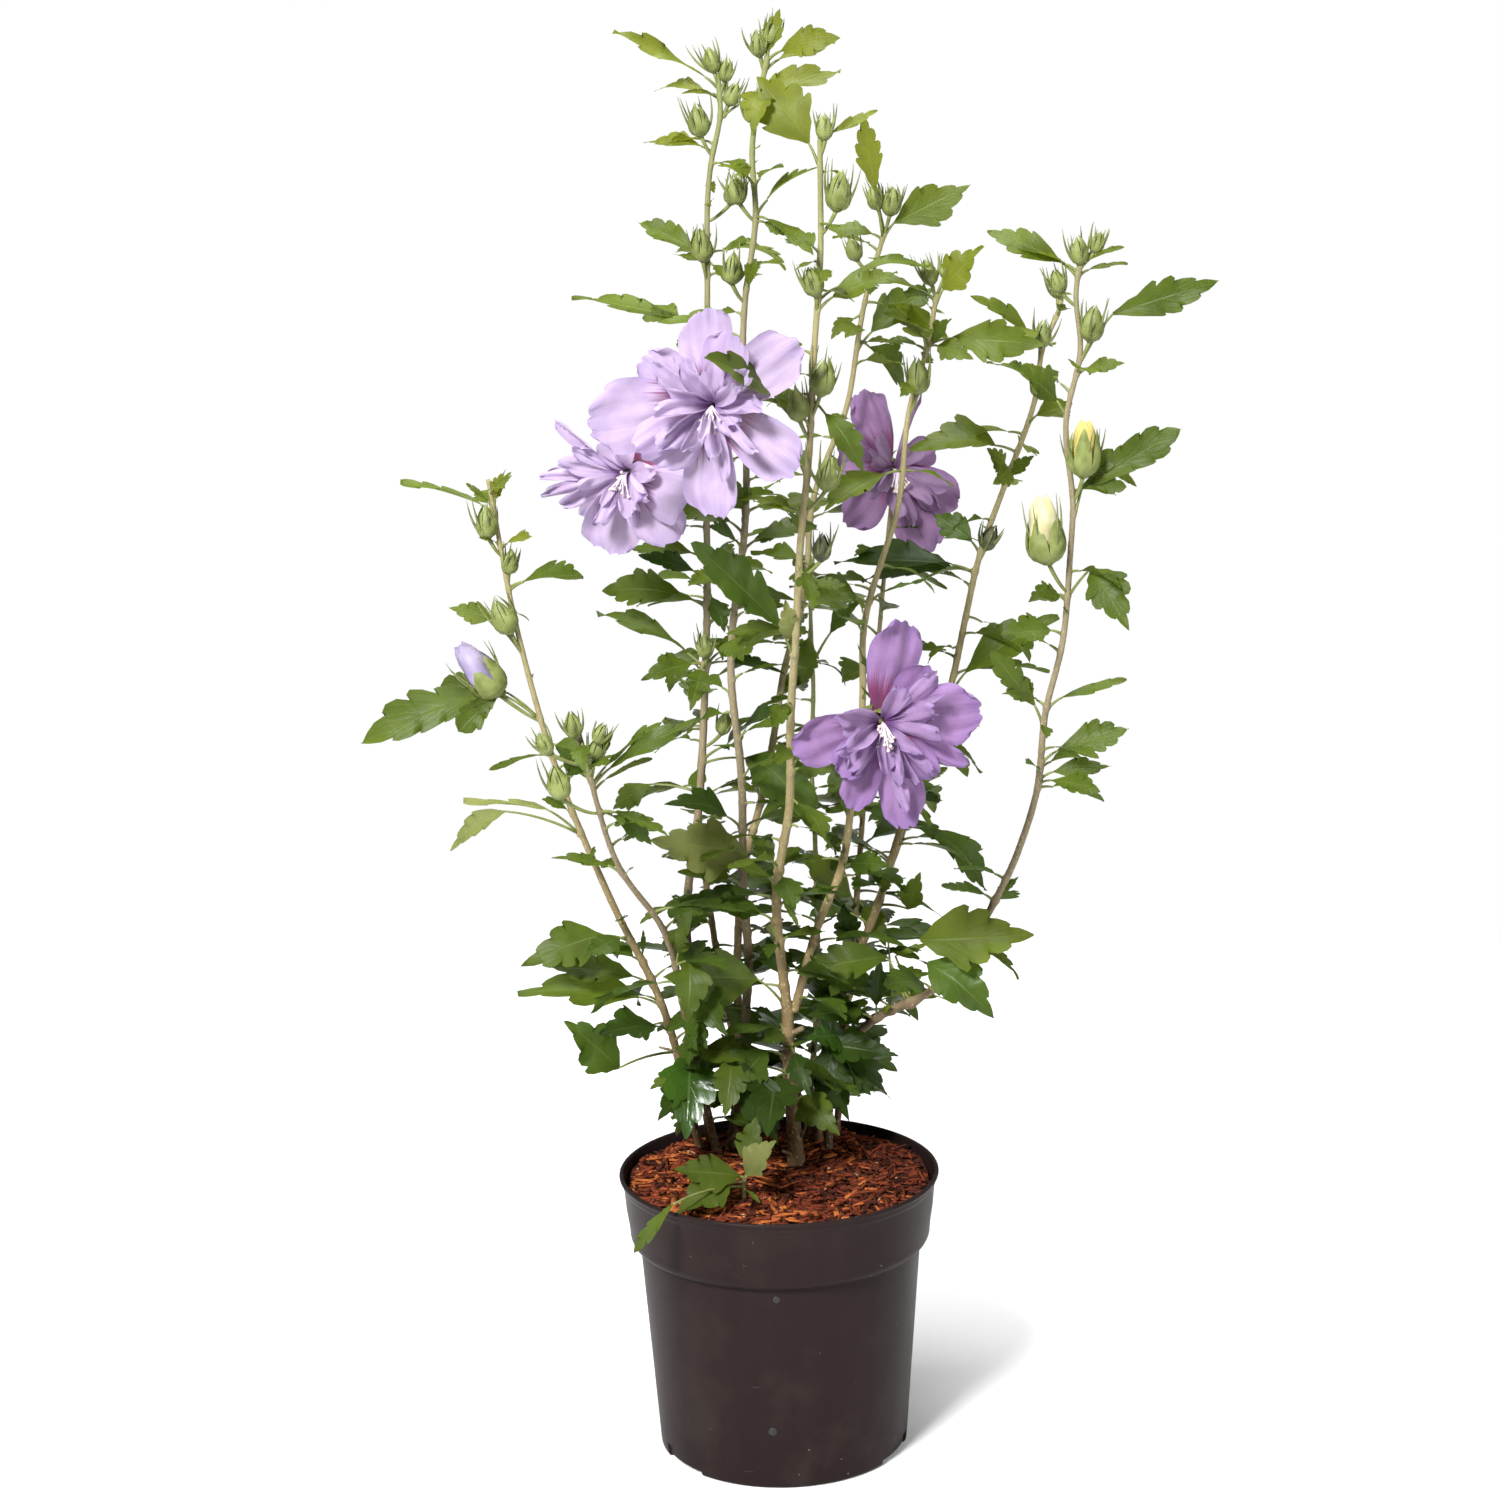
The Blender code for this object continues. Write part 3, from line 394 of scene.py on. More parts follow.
# Blooms: heart, the way that each faces, tone, and where its stalk starts. Then its broad petals
# from the back to the front, and its narrow ones: bearing in degrees from its right, reach, half
# width, and how many degrees its outer part leans forward.
BLOOMS = {
    "bloom_left_upper": (
        (-27, -97, 634), (-0.1, -1, 0.1), "pale", (-11, -44, 642),
        [
            (141, 44, 14, 2), (97, 50, 17, -8), (184, 65, 21, 4), (33, 56, 17, -4), (325, 56, 16, 6),
            (268, 58, 17, -6), (71, 38, 14, 12), (230, 42, 14, 2), (206, 44, 11, 20),
        ],
        [
            (322, 35, 6, 22), (289, 40, 5.5, 14), (150, 36, 8, 14), (137, 30, 7, 22), (228, 34, 9, 14),
            (45, 27, 7, 30), (8, 27, 7, 30), (112, 25, 7, 30), (78, 24, 7, 36), (250, 26, 7, 34),
            (340, 26, 7, 34), (186, 27, 8, 34), (272, 26, 6, 34), (218, 32, 7, 30), (160, 20, 6, 46),
            (300, 22, 6, 46), (28, 18, 6, 50), (96, 16, 5, 60), (250, 15, 5, 60), (330, 16, 5, 60),
        ],
    ),
    "bloom_left_lower": (
        (-77, -6, 589), (-0.35, -1, 0.0), "pale", (-70, 9, 586),
        [
            (104, 34, 14, -6), (60, 41, 16, -8), (300, 46, 17, 0), (254, 47, 18, -4), (222, 38, 11, -6),
            (347, 42, 24, 12),
        ],
        [
            (152, 47, 5.5, 10), (184, 48, 5.5, 8), (194, 46, 6, 14), (170, 34, 6, 20), (206, 36, 7, 16),
            (140, 30, 7, 20), (262, 25, 7, 30), (240, 27, 7, 30), (286, 22, 7, 40), (312, 20, 7, 44),
            (120, 20, 7, 40), (200, 20, 6, 46), (230, 18, 5, 50), (340, 21, 8, 44), (20, 21, 8, 40),
            (80, 20, 7, 40),
        ],
    ),
    "bloom_right_lower": (
        (61, -100, 461), (0.1, -1, 0.15), "violet", (63, -74, 458),
        [
            (79, 55, 16, -6), (193, 50, 14, -2), (4, 53, 18, 0), (249, 49, 11, 0), (287, 58, 14, -4),
            (42, 38, 13, 8), (332, 50, 6, 8), (225, 36, 11, 6), (310, 40, 10, 4),
        ],
        [
            (35, 36, 6, 24), (207, 30, 8, 26), (168, 26, 8, 32), (255, 26, 8, 34), (272, 48, 5, 10),
            (310, 36, 6, 20), (298, 32, 7, 26), (12, 26, 8, 34), (222, 25, 7, 40), (240, 30, 7, 30),
            (320, 24, 6, 40), (284, 36, 6, 20), (186, 24, 7, 44), (340, 28, 7, 30), (62, 20, 7, 40),
            (10, 34, 3, 24),
        ],
    ),
    "bloom_right_upper": (
        (78, 120, 573), (0.3, -1, 0.1), "mauve", (77, 118, 552),
        [
            (112, 50, 13, -4), (150, 36, 15, -6), (226, 44, 15, 0), (294, 55, 17, 0), (327, 44, 17, 6),
            (30, 30, 11, -6), (195, 34, 13, 2),
        ],
        [
            (86, 45, 3.5, 8), (250, 28, 7, 22), (300, 26, 7, 28), (200, 26, 7, 26), (160, 22, 7, 36),
            (340, 30, 8, 22), (274, 34, 6, 18), (50, 22, 7, 30), (222, 20, 6, 40), (315, 34, 7, 18),
            (120, 24, 7, 30),
        ],
    ),
}

# A petal's half width along it, as a share of its greatest, and how deep its folds are as shares
# of its reach: fine pleats along it, the ruffle of its margin and the creases across it.
PETAL_OUTLINE = (
    (0, 0.26), (0.15, 0.42), (0.35, 0.74), (0.6, 0.95), (0.8, 1.0), (0.92, 0.94), (0.98, 0.80), (1, 0.64),
)
PLEAT, RUFFLE, CREASE = 0.020, 0.075, 0.022
# How far behind a bloom's heart its stalk ends and its calyx and its bracts start, then the length,
# width and lean of the calyx's lobes, and the length and lean of the bracts.
CUP_BACK, CALYX_BACK, BRACTS_BACK = 9, 12, 13
CALYX_LOBE = (15, 6, 4)
BLOOM_BRACT = (15, 0.6)
BLOOM_BRACTS = 8
# A petal's slope at the heart in degrees, how much shorter it is at its sides, how ragged its end
# is, its twist in radians, how far it bends aside, and how far it curls across in radians. One in
# three curls backwards. Narrow petals stray from their bearing and lean by up to some degrees.
START_SLOPE = (45, 70)
ROUNDED = (0.07, 0.16)
RAGGED, FRAYED = 0.022, 0.012
PETAL_TWIST = (-0.45, 0.45)
PETAL_BEND = (-0.10, 0.10)
BROAD_CURL = (0.25, 0.7)
NARROW_CURL = (0.8, 1.7)
CURL_SIDES = (-1, 1, 1)
BEARING_STRAY = (-8, 8)
LEAN_STRAY = (-10, 10)
STAMENS = 18
STAMEN_REACH = (9, 21)
STAMEN_SPREAD = (2, 7)

# Tones of the leaves: colour, colour of the light that comes through, and roughness.
LEAF_TONES = {
    "young": ((0.130, 0.155, 0.014), (0.36, 0.40, 0.03), 0.48),
    "bright": ((0.082, 0.118, 0.010), (0.25, 0.33, 0.02), 0.46),
    "mid": ((0.064, 0.096, 0.010), (0.16, 0.24, 0.015), 0.44),
    "deep": ((0.051, 0.088, 0.010), (0.10, 0.18, 0.015), 0.40),
    # The dark tone is painted shade: a darker copy of the leaf green, given to leaves that hang in shade
    # deep in the crown and low at its foot.
    "dark": ((0.026, 0.051, 0.007), (0.06, 0.12, 0.010), 0.40),
    "gloss": ((0.034, 0.082, 0.010), (0.09, 0.19, 0.015), 0.25),
    # This tone is partly the paler, duller underside of a leaf and partly painted light: it is made brighter
    # still because the leaves that take it hang in shade.
    "under": ((0.190, 0.212, 0.066), (0.22, 0.26, 0.03), 0.60),
}
# A leaf whose tone isn't given takes that of the highest step below it.
TONE_HEIGHTS = ((760, "young"), (560, "bright"), (350, "mid"), (0, "deep"))
VEIN_GREEN = (0.36, 0.42, 0.15)
LEAF_SHINE = 0.22
GLOSS_SHINE = 0.34

# Kinds of blade: the outline from stalk to tip, as (share of the length, half width as a share of
# the length), how many teeth are on a side, and their depth as a share of the half width.
LEAF_KINDS = {
    "ovate": ((
        (0, 0.01), (0.1, 0.05), (0.26, 0.14), (0.42, 0.205), (0.56, 0.190), (0.72, 0.128),
        (0.88, 0.052), (1, 0),
    ), 4, 0.30),
    "long": ((
        (0, 0.01), (0.1, 0.04), (0.26, 0.105), (0.42, 0.15), (0.56, 0.145), (0.72, 0.10),
        (0.88, 0.042), (1, 0),
    ), 4, 0.34),
    "slender": ((
        (0, 0.008), (0.12, 0.03), (0.3, 0.075), (0.5, 0.105), (0.7, 0.09), (0.88, 0.045), (1, 0),
    ), 3, 0.34),
    "broad": ((
        (0, 0.012), (0.08, 0.06), (0.2, 0.165), (0.32, 0.25), (0.43, 0.275), (0.56, 0.220),
        (0.72, 0.132), (0.87, 0.052), (1, 0),
    ), 4, 0.30),
    "middle_lobe": ((
        (0, 0.01), (0.2, 0.07), (0.4, 0.105), (0.56, 0.125), (0.7, 0.125), (0.84, 0.08),
        (0.94, 0.035), (1, 0),
    ), 4, 0.42),
    "side_lobe": ((
        (0, 0.01), (0.2, 0.08), (0.45, 0.17), (0.65, 0.22), (0.8, 0.19), (0.92, 0.10), (1, 0),
    ), 3, 0.34),
}
BASE_ROWS = (0.0, 0.09, 0.18)
FIRST_TOOTH = 0.27
TOOTH_ROWS = (0.0, 0.28, 0.64, 0.92)
TOOTH_RISE = (0.0, 0.74, 1.0, 0.68)
ACROSS = (-1, -0.5, 0, 0.5, 1)
# How leaves differ from one another: the width of a half and the size of a tooth as factors, where
# the midrib bends as a share of its length and how high it arches, the twist to the tip and the
# fold of the halves in radians, and the waves of the margin by height and number.
HALF_SPREAD = (0.80, 1.20)
TOOTH_SPREAD = (0.3, 1.35)
BEND_SPREAD = (0.36, 0.52)
ARCH_SPREAD = (0.02, 0.12)
DROOP_ARCH = 0.30
TWIST_SPREAD = (-0.5, 0.5)
FOLD_SPREAD = (0.15, 0.55)
WAVE_HEIGHTS = (0.015, 0.045)
WAVE_COUNTS = (0.9, 1.8)

# A stalk's usual length as a share of its leaf's, and its greatest.
STALK_SHARE = 0.22
LONGEST_STALK = 15.0

# Seeded growth that fills the crown behind the leaves above: the lowest node, the step from node
# to node, how much of a leaf has to be covered, and how far a leaf reaches, rises and droops.
LOWEST_NODE = 186
NODE_SPACING = 13
NODE_JITTER = 4
REAR_SPACING = 0.8
HIDDEN_SHARE = 0.80
REAR_HIDDEN_SHARE = 0.62
TRIES = 14
LEAF_REACH = (46, 70)
LEAF_RISE = (-0.25, 0.42)
OUTWARD_DROOP = 0.45
OUTWARD_FACE = 0.4
SEEDED_KINDS = ("ovate", "ovate", "lobed", "broad")
# Leaves get smaller over the height of the crown, and with each try at a node.
CROWN_FOOT = 180
CROWN_RISE = 620
TOP_SHRINK = 0.35
TRY_SHRINK = 0.045
PLANT_SEED = 20

# Mulch: the bed's edge, and the splinters by colour: how many, their lengths, widths and
# thickness, how far they tilt, and how much more often they lie on the left. That share is
# painted light and shade: pale and orange splinters gather on the lit left, dark ones on the
# shaded right.
BED_RADIUS = 90.4
BED_SIDES = 120
BED_ROWS = 46
SKIRT_HEIGHT = 130
STREW_RADIUS = 88
STREW_HEIGHTS = (-0.3, 2.0)
TRUNK_CLEARANCE = 7
SPLINTERS = {
    "dark": (1900, (7, 22), (0.9, 2.8), 1.1, 0.18, -0.35),
    "red": (3800, (7, 28), (0.7, 3.2), 1.0, 0.20, 0.0),
    "orange": (820, (9, 36), (1.0, 4.6), 1.2, 0.16, 0.45),
    "pale": (200, (4, 13), (0.8, 2.6), 1.0, 0.22, 0.3),
}
MULCH_SEED = 7

# Finishes. Bark: name, colours at the foot, in the middle and at the top, and roughness. Soft
# skins: name, two colours, and where they differ from the rest the fineness of their clouds, the
# roughness and the light that comes through. Petals: pale, rich and edge. Splinters: dark, light.
BARKS = {
    "bark": ("bark_tan", (0.200, 0.136, 0.056), (0.29, 0.250, 0.118), (0.200, 0.220, 0.070), 0.62),
    "brown_bark": ("bark_brown", (0.165, 0.118, 0.062), (0.235, 0.195, 0.112), (0.200, 0.220, 0.070), 0.66),
    "green_bark": ("bark_green", (0.16, 0.15, 0.055), (0.20, 0.22, 0.07), (0.200, 0.220, 0.070), 0.55),
}
SKINS = {
    "stalk": ("stalk_green", (0.13, 0.15, 0.035), (0.20, 0.23, 0.06)),
    "calyx": ("calyx_green", (0.15, 0.185, 0.038), (0.28, 0.32, 0.095), 160, 0.5, (0.4, 0.5, 0.1)),
    "bract": ("bract_green", (0.085, 0.105, 0.03), (0.19, 0.22, 0.06)),
    "brown": ("bud_dark", (0.035, 0.035, 0.014), (0.10, 0.11, 0.035)),
    "cream": ("bud_cream", (0.50, 0.46, 0.24), (0.70, 0.68, 0.44), 90, 0.55, (0.8, 0.75, 0.3)),
    "yellow": ("bud_yellow", (0.46, 0.36, 0.08), (0.62, 0.52, 0.17), 90, 0.55, (0.8, 0.7, 0.2)),
    "lilac": ("bud_lilac", (0.27, 0.21, 0.40), (0.46, 0.40, 0.55), 90, 0.55, (0.5, 0.42, 0.6)),
    "stamen": ("stamen_white", (0.72, 0.60, 0.72), (0.90, 0.84, 0.88)),
    "anther": ("anther_cream", (0.66, 0.52, 0.45), (0.88, 0.80, 0.74)),
    "pot_mark": ("pot_mark", (0.006, 0.005, 0.005), (0.012, 0.010, 0.010)),
}
PETALS = {
    "pale": ((0.535, 0.425, 0.600), (0.34, 0.20, 0.44), (0.37, 0.31, 0.62)),
    "mauve": ((0.335, 0.195, 0.365), (0.18, 0.088, 0.225), (0.22, 0.15, 0.33)),
    "violet": ((0.335, 0.195, 0.400), (0.140, 0.054, 0.205), (0.19, 0.13, 0.37)),
}
PETAL_EYE = (0.17, 0.004, 0.055)
HEART_PALE = (0.90, 0.82, 0.95)
HEAP_SKINS = ("stalk", "calyx", "bract", "brown", "cream", "yellow", "lilac", "stamen", "anther")
CHIPS = {
    "mulch_dark": ((0.024, 0.0055, 0.003), (0.075, 0.017, 0.008)),
    "mulch_red": ((0.085, 0.015, 0.006), (0.215, 0.042, 0.013)),
    "mulch_orange": ((0.25, 0.054, 0.013), (0.52, 0.155, 0.038)),
    "mulch_pale": ((0.34, 0.16, 0.08), (0.58, 0.34, 0.20)),
}

# Floor and lamps, in metres. The floor ends where the lamps still make it as pale as the world
# behind it. Each lamp: its place, where it points, its size and its power.
FLOOR_RADIUS = 1.25
FLOOR_SIDES = 96
# How brightly the world lights the plant, from its front to its back.
WORLD_SHADE = {"From Min": -0.6, "From Max": 0.6, "To Min": 0.09, "To Max": 0.30}
LAMPS = {
    "key": ((-1.0, -1.9, 2.1), (0, 0, 0.4), 0.7, 150),
    "fill": ((1.8, -1.3, 1.0), (0, 0, 0.4), 1.2, 20),
    "top": ((0.1, 0.3, 2.5), (0, 0, 0.3), 1.0, 56),
}


class Value:
    """A shader socket to reckon with: each operator adds one Math node."""

    def __init__(self, finish, socket):
        self.finish = finish
        self.socket = socket

    def math(self, operation, *numbers):
        """The Math node of these numbers, each of which may be a value."""
        return self.finish.node("ShaderNodeMath", {"operation": operation}, dict(enumerate(numbers)))

    def __add__(self, other):
        return self.math("ADD", self, other)

    __radd__ = __add__

    def __sub__(self, other):
        return self.math("SUBTRACT", self, other)

    def __rsub__(self, other):
        return self.math("SUBTRACT", other, self)

    def __mul__(self, other):
        return self.math("MULTIPLY", self, other)

    __rmul__ = __mul__

    def __abs__(self):
        return self.math("ABSOLUTE", self)

    def fraction(self):
        return self.math("FRACT", self)

    def larger(self, other):
        return self.math("MAXIMUM", self, other)

    def clear(self):
        """Held between 0 and 1."""
        return self.finish.node("ShaderNodeClamp", {}, {0: self})


class Finish:
    """A material with its nodes."""

    def __init__(self, name):
        self.material = bpy.data.materials.new(name)
        self.material.use_nodes = True
        self.tree = self.material.node_tree
        self.shader = self.tree.nodes["Principled BSDF"]
        self.output = self.tree.nodes["Material Output"]

    def feed(self, socket, value):
        if isinstance(value, Value):
            self.tree.links.new(value.socket, socket)
        elif socket.type == "RGBA" and len(value) == 3:
            socket.default_value = (*value, 1)
        else:
            socket.default_value = value

    def node(self, kind, settings=None, inputs=None, output=0):
        """A node of this kind, with its settings, then its inputs by name or by number."""
        made = self.tree.nodes.new(kind)
        for key, value in (settings or {}).items():
            if key != "stops":
                setattr(made, key, value)
                continue
            elements = made.color_ramp.elements
            while len(elements) < len(value):
                elements.new(0.5)
            for element, (place, colour) in zip(elements, value):
                element.position = place
                element.color = (*colour, 1)
        for key, value in (inputs or {}).items():
            self.feed(made.inputs[key], value)
        return Value(self, made.outputs[output])

    def place(self, scale=(1, 1, 1), turn=(0, 0, 0)):
        """Object coordinates, stretched and turned."""
        seat = self.node("ShaderNodeTexCoord", output="Object")
        return self.node("ShaderNodeMapping", {}, {"Vector": seat, "Scale": scale, "Rotation": turn})

    def across_along(self):
        """The piece's own UV map: across from 0 to 1, and along from 0 to 1."""
        split = self.node("ShaderNodeSeparateXYZ", {}, {0: self.node("ShaderNodeTexCoord", output="UV")})
        return split, Value(self, split.socket.node.outputs[1])

    def height(self):
        """How high a point is, in millimetres."""
        seat = self.node("ShaderNodeTexCoord", output="Object")
        return self.node("ShaderNodeSeparateXYZ", {}, {0: seat}, output=2) * 1000

    def noise(self, scale, detail=3.0, roughness=0.55, vector=None):
        inputs = {"Vector": vector or self.place(), "Scale": scale, "Detail": detail, "Roughness": roughness}
        return self.node("ShaderNodeTexNoise", {}, inputs)

    def ramp(self, value, *stops):
        return self.node("ShaderNodeValToRGB", {"stops": stops}, {0: value})

    def mix(self, share, a, b):
        return self.node("ShaderNodeMix", {"data_type": "RGBA"}, {0: share, 6: a, 7: b}, output=2)

    def bump(self, height, strength, distance):
        inputs = {"Height": height, "Strength": strength, "Distance": distance}
        self.feed(self.shader.inputs["Normal"], self.node("ShaderNodeBump", {}, inputs))

    def set(self, **inputs):
        for key, value in inputs.items():
            self.feed(self.shader.inputs[key.replace("_", " ")], value)
        return self

    def let_light_through(self, colour, share):
        """Some of the light passes: the shader is mixed with a translucent one in a steady share."""
        through = self.node("ShaderNodeBsdfTranslucent", {}, {"Color": colour})
        both = self.node("ShaderNodeMixShader", {}, {0: share, 2: through})
        self.tree.links.new(self.shader.outputs[0], both.socket.node.inputs[1])
        self.tree.links.new(both.socket, self.output.inputs["Surface"])
        return self


def scaled(colour, factor):
    return tuple(factor * c for c in colour)


def blended(a, b, share):
    """The colour that is this share of the way from a to b."""
    return tuple((1 - share) * c + share * d for c, d in zip(a, b))


def leaf_finish(tone):
    """A leaf: paler veins drawn by its own map, cloudy green, and a slightly quilted surface."""
    colour, through, roughness = LEAF_TONES[tone]
    finish = Finish("leaf_" + tone)
    across, along = finish.across_along()
    side = abs(across * 2 - 1)
    midrib = (1 - side * 14).clear()
    line = abs(((along - side * 0.34) * 8).fraction() - 0.5) * 2
    vein = ((line - 0.84) * 6).clear() * (1 - side * 0.75)
    veins = midrib.larger(vein * 0.5)
    cloud = finish.noise(55, 2.0)
    fine = finish.noise(700, 2.0)
    spray = finish.noise(17, 1.0)
    rich = (colour[0] * 1.22, colour[1] * 1.12, colour[2] * 1.1)
    blade = finish.ramp(cloud, (0.30, scaled(colour, 0.70)), (0.50, colour), (0.72, rich))
    blade = finish.mix(fine * 0.10, blade, scaled(colour, 0.55))
    blade = finish.mix(((spray - 0.44) * 4).clear() * 0.45, blade, scaled(colour, 0.55))
    finish.set(Base_Color=finish.mix(veins * 0.30, blade, blended(colour, VEIN_GREEN, 0.5)))
    finish.set(Roughness=fine * 0.08 + (roughness - 0.02))
    finish.set(Specular_IOR_Level=GLOSS_SHINE if tone == "gloss" else LEAF_SHINE)
    finish.bump((1 - veins) * 0.8 + fine * 0.05 + line * 0.25, 0.5, 0.0006)
    return finish.let_light_through(through, 0.30).material


def bark_finish(name, low, middle, high, rough):
    """Bark: tan or brown wood below that turns green above, streaked lengthwise, with pale spots."""
    finish = Finish(name)
    height = finish.height()
    streak = finish.noise(1, 4.0, 0.6, finish.place((900, 900, 110)))
    patch = finish.noise(45, 2.0)
    rise = ((height - 180) * (1 / 640) + (patch - 0.5) * 0.22).clear()
    red, green, blue = scaled(low, 0.5)
    foot = (red + 0.022, green + 0.004, blue)
    skin = finish.ramp(rise, (0.0, foot), (0.12, low), (0.48, middle), (0.72, middle), (0.95, high))
    skin = finish.mix(((streak - 0.46) * 2.6).clear() * 0.5, skin, scaled(low, 0.45))
    spots = finish.node("ShaderNodeTexVoronoi", {}, {"Vector": finish.place((420, 420, 260)), "Scale": 1})
    spot = ((0.30 - spots) * 7).clear() * (1 - rise * 0.8)
    skin = finish.mix(spot * 0.55, skin, tuple(min(1.5 * c + 0.05, 0.8) for c in middle))
    finish.set(Base_Color=skin, Roughness=rough + streak * 0.1)
    finish.bump(streak * 0.6 + spot * 0.5, 0.6, 0.0004)
    return finish.material


def soft_skin(name, low, high, scale=160, roughness=0.5, through=None):
    """The skin of stalks, buds and bracts: two colours in a cloudy pattern, ribbed lengthwise."""
    finish = Finish(name)
    cloud = finish.noise(scale, 1.0)
    across, _ = finish.across_along()
    rib = abs((across * 10).fraction() - 0.5) * 2
    skin = finish.ramp(cloud, (0.30, low), (0.68, high))
    skin = finish.mix(rib * 0.22, skin, scaled(low, 0.6))
    finish.set(Base_Color=skin, Roughness=roughness + cloud * 0.1)
    finish.bump(cloud * 0.5 + rib * 0.5, 0.3, 0.0003)
    if through:
        finish.let_light_through(through, 0.2)
    return finish.material


def petal_finish(name, pale, rich, edge, eye, reach):
    """A petal: thin, with fine lengthwise veins, an eye of another colour that runs out in
    streaks as far as it reaches along, and a slightly bluer, uneven margin."""
    finish = Finish(name)
    across, along = finish.across_along()
    whole = finish.node("ShaderNodeTexCoord", output="UV")
    fans = finish.node("ShaderNodeMapping", {}, {"Vector": whole, "Scale": (34, 1.6, 1)})
    streak = finish.noise(1, 2.0, 0.5, fans)
    cloud = finish.noise(120, 3.0)
    skin = finish.ramp(cloud, (0.30, blended(rich, pale, 0.65)), (0.58, pale))
    side = abs(across * 2 - 1)
    rim = ((side.larger(along) - 0.78) * 3.6).clear()
    skin = finish.mix(rim * 0.5, skin, edge)
    skin = finish.mix(((streak - 0.50) * 3.2).clear() * 0.46, skin, rich)
    flame = ((reach + (streak - 0.5) * 0.55 - along) * 5.5).clear()
    finish.set(Base_Color=finish.mix(flame * 0.97, skin, eye), Roughness=0.62)
    finish.set(Sheen_Weight=0.15, Specular_IOR_Level=0.25)
    finish.bump(streak * 0.7 + cloud * 0.3, 0.55, 0.0007)
    return finish.let_light_through(tuple(min(1.1 * c, 0.95) for c in pale), 0.38).material


def bark_chip_finish(name, dark, light):
    """A splinter of shredded bark: fibres along it in two browns, rough all over."""
    finish = Finish(name)
    fibre = finish.noise(900, 4.0, 0.7)
    patch = finish.noise(90, 2.0)
    skin = finish.ramp(fibre * 0.6 + patch * 0.4, (0.36, dark), (0.62, light))
    finish.set(Base_Color=skin, Roughness=0.86, Specular_IOR_Level=0.2)
    finish.bump(fibre, 0.8, 0.0006)
    return finish.material


def pot_finish():
    """Black moulded plastic: faint upright flow streaks, dull dusty patches low down, pale specks
    and short scuffs."""
    finish = Finish("pot_black_plastic")
    grain = finish.noise(2600, 2.0)
    flow = finish.noise(1, 3.0, 0.5, finish.place((60, 60, 4)))
    dust = finish.noise(26, 4.0, 0.6)
    low = (1 - finish.height() * (1 / 120)).clear()
    skin = finish.mix((flow - 0.35).clear() * 0.9, (0.0150, 0.0088, 0.0084), (0.024, 0.0145, 0.0138))
    skin = finish.mix(((dust - 0.50) * 3.0).clear() * (0.10 + low * 0.16), skin, (0.07, 0.058, 0.052))
    specks = finish.node("ShaderNodeTexVoronoi", {}, {"Vector": finish.place(), "Scale": 150})
    speck = ((0.085 - specks) * 30).clear() * ((finish.noise(38, 1.0) - 0.56) * 9).clear()
    scuffs = finish.noise(1, 2.0, 0.5, finish.place((30, 30, 420), (0.12, 0.08, 0)))
    scuff = ((scuffs - 0.74) * 14).clear()
    skin = finish.mix((speck * 0.6 + scuff * 0.16).clear(), skin, (0.30, 0.27, 0.25))
    finish.set(Base_Color=skin, Roughness=0.36 + dust * 0.16 + scuff * 0.2, Specular_IOR_Level=0.07)
    finish.bump(grain * 0.5 + flow * 0.5, 0.25, 0.0003)
    return finish.material


class Heap:
    """Grids of points gathered into one mesh. A grid's UV map runs 0 to 1 over its columns and rows."""

    def __init__(self):
        self.points = []
        self.faces = []
        self.maps = []
        self.count = 0

    def add(self, points, faces, corners):
        self.points.append(points)
        self.faces.append(faces + self.count)
        self.maps.append(corners)
        self.count += len(points)

    def grid(self, points, ring=False):
        """A grid of rows x columns x 3. A ring's last column joins its first."""
        rows, columns = points.shape[:2]
        index = np.arange(rows * columns).reshape(rows, columns)
        if ring:
            index = np.hstack([index, index[:, :1]])
        across, along = np.meshgrid(np.linspace(0, 1, index.shape[1]), np.linspace(0, 1, rows))
        places = np.stack([across, along], axis=-1)

        def corners(field):
            four = (field[:-1, :-1], field[:-1, 1:], field[1:, 1:], field[1:, :-1])
            return np.stack(four, axis=2).reshape(-1, 4, *field.shape[2:])

        self.add(points.reshape(-1, 3), corners(index), corners(places))

    def mesh(self, name, smooth=True):
        """The mesh in metres, with points that coincide made one."""
        points = np.concatenate(self.points) * MM
        faces = np.concatenate(self.faces).astype(np.int32)
        maps = np.concatenate(self.maps).astype(np.float32)
        mesh = bpy.data.meshes.new(name)
        mesh.vertices.add(len(points))
        mesh.vertices.foreach_set("co", points.astype(np.float32).ravel())
        mesh.loops.add(faces.size)
        mesh.loops.foreach_set("vertex_index", faces.ravel())
        mesh.polygons.add(len(faces))
        mesh.polygons.foreach_set("loop_start", np.arange(0, faces.size, 4, dtype=np.int32))
        mesh.update(calc_edges=True)
        mesh.uv_layers.new(name="UVMap").data.foreach_set("uv", maps.ravel())
        shape = bmesh.new()
        shape.from_mesh(mesh)
        bmesh.ops.remove_doubles(shape, verts=shape.verts, dist=0.002 * MM)
        bmesh.ops.dissolve_degenerate(shape, edges=shape.edges, dist=0.001 * MM)
        shape.to_mesh(mesh)
        shape.free()
        if smooth:
            mesh.shade_smooth()
        return mesh


def add_object(name, data):
    """The object of some data, put in the scene."""
    made = bpy.data.objects.new(name, data)
    bpy.context.scene.collection.objects.link(made)
    return made


def make_piece(name, heap, finish, nodes=(), smooth=True):
    """The object of a heap: it rides on the root and stands for these nodes."""
    mesh = heap.mesh(name, smooth)
    mesh.materials.append(FINISHES[finish])
    piece = add_object(name, mesh)
    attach(piece, "root")
    if nodes:
        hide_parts(*nodes)
    return piece


def unit(vectors):
    """Vectors made one long."""
    vectors = np.asarray(vectors, float)
    return vectors / np.maximum(np.linalg.norm(vectors, axis=-1, keepdims=True), 1e-9)


def turns(count):
    """Angles spaced evenly round a circle."""
    return np.arange(count) * 2 * np.pi / count


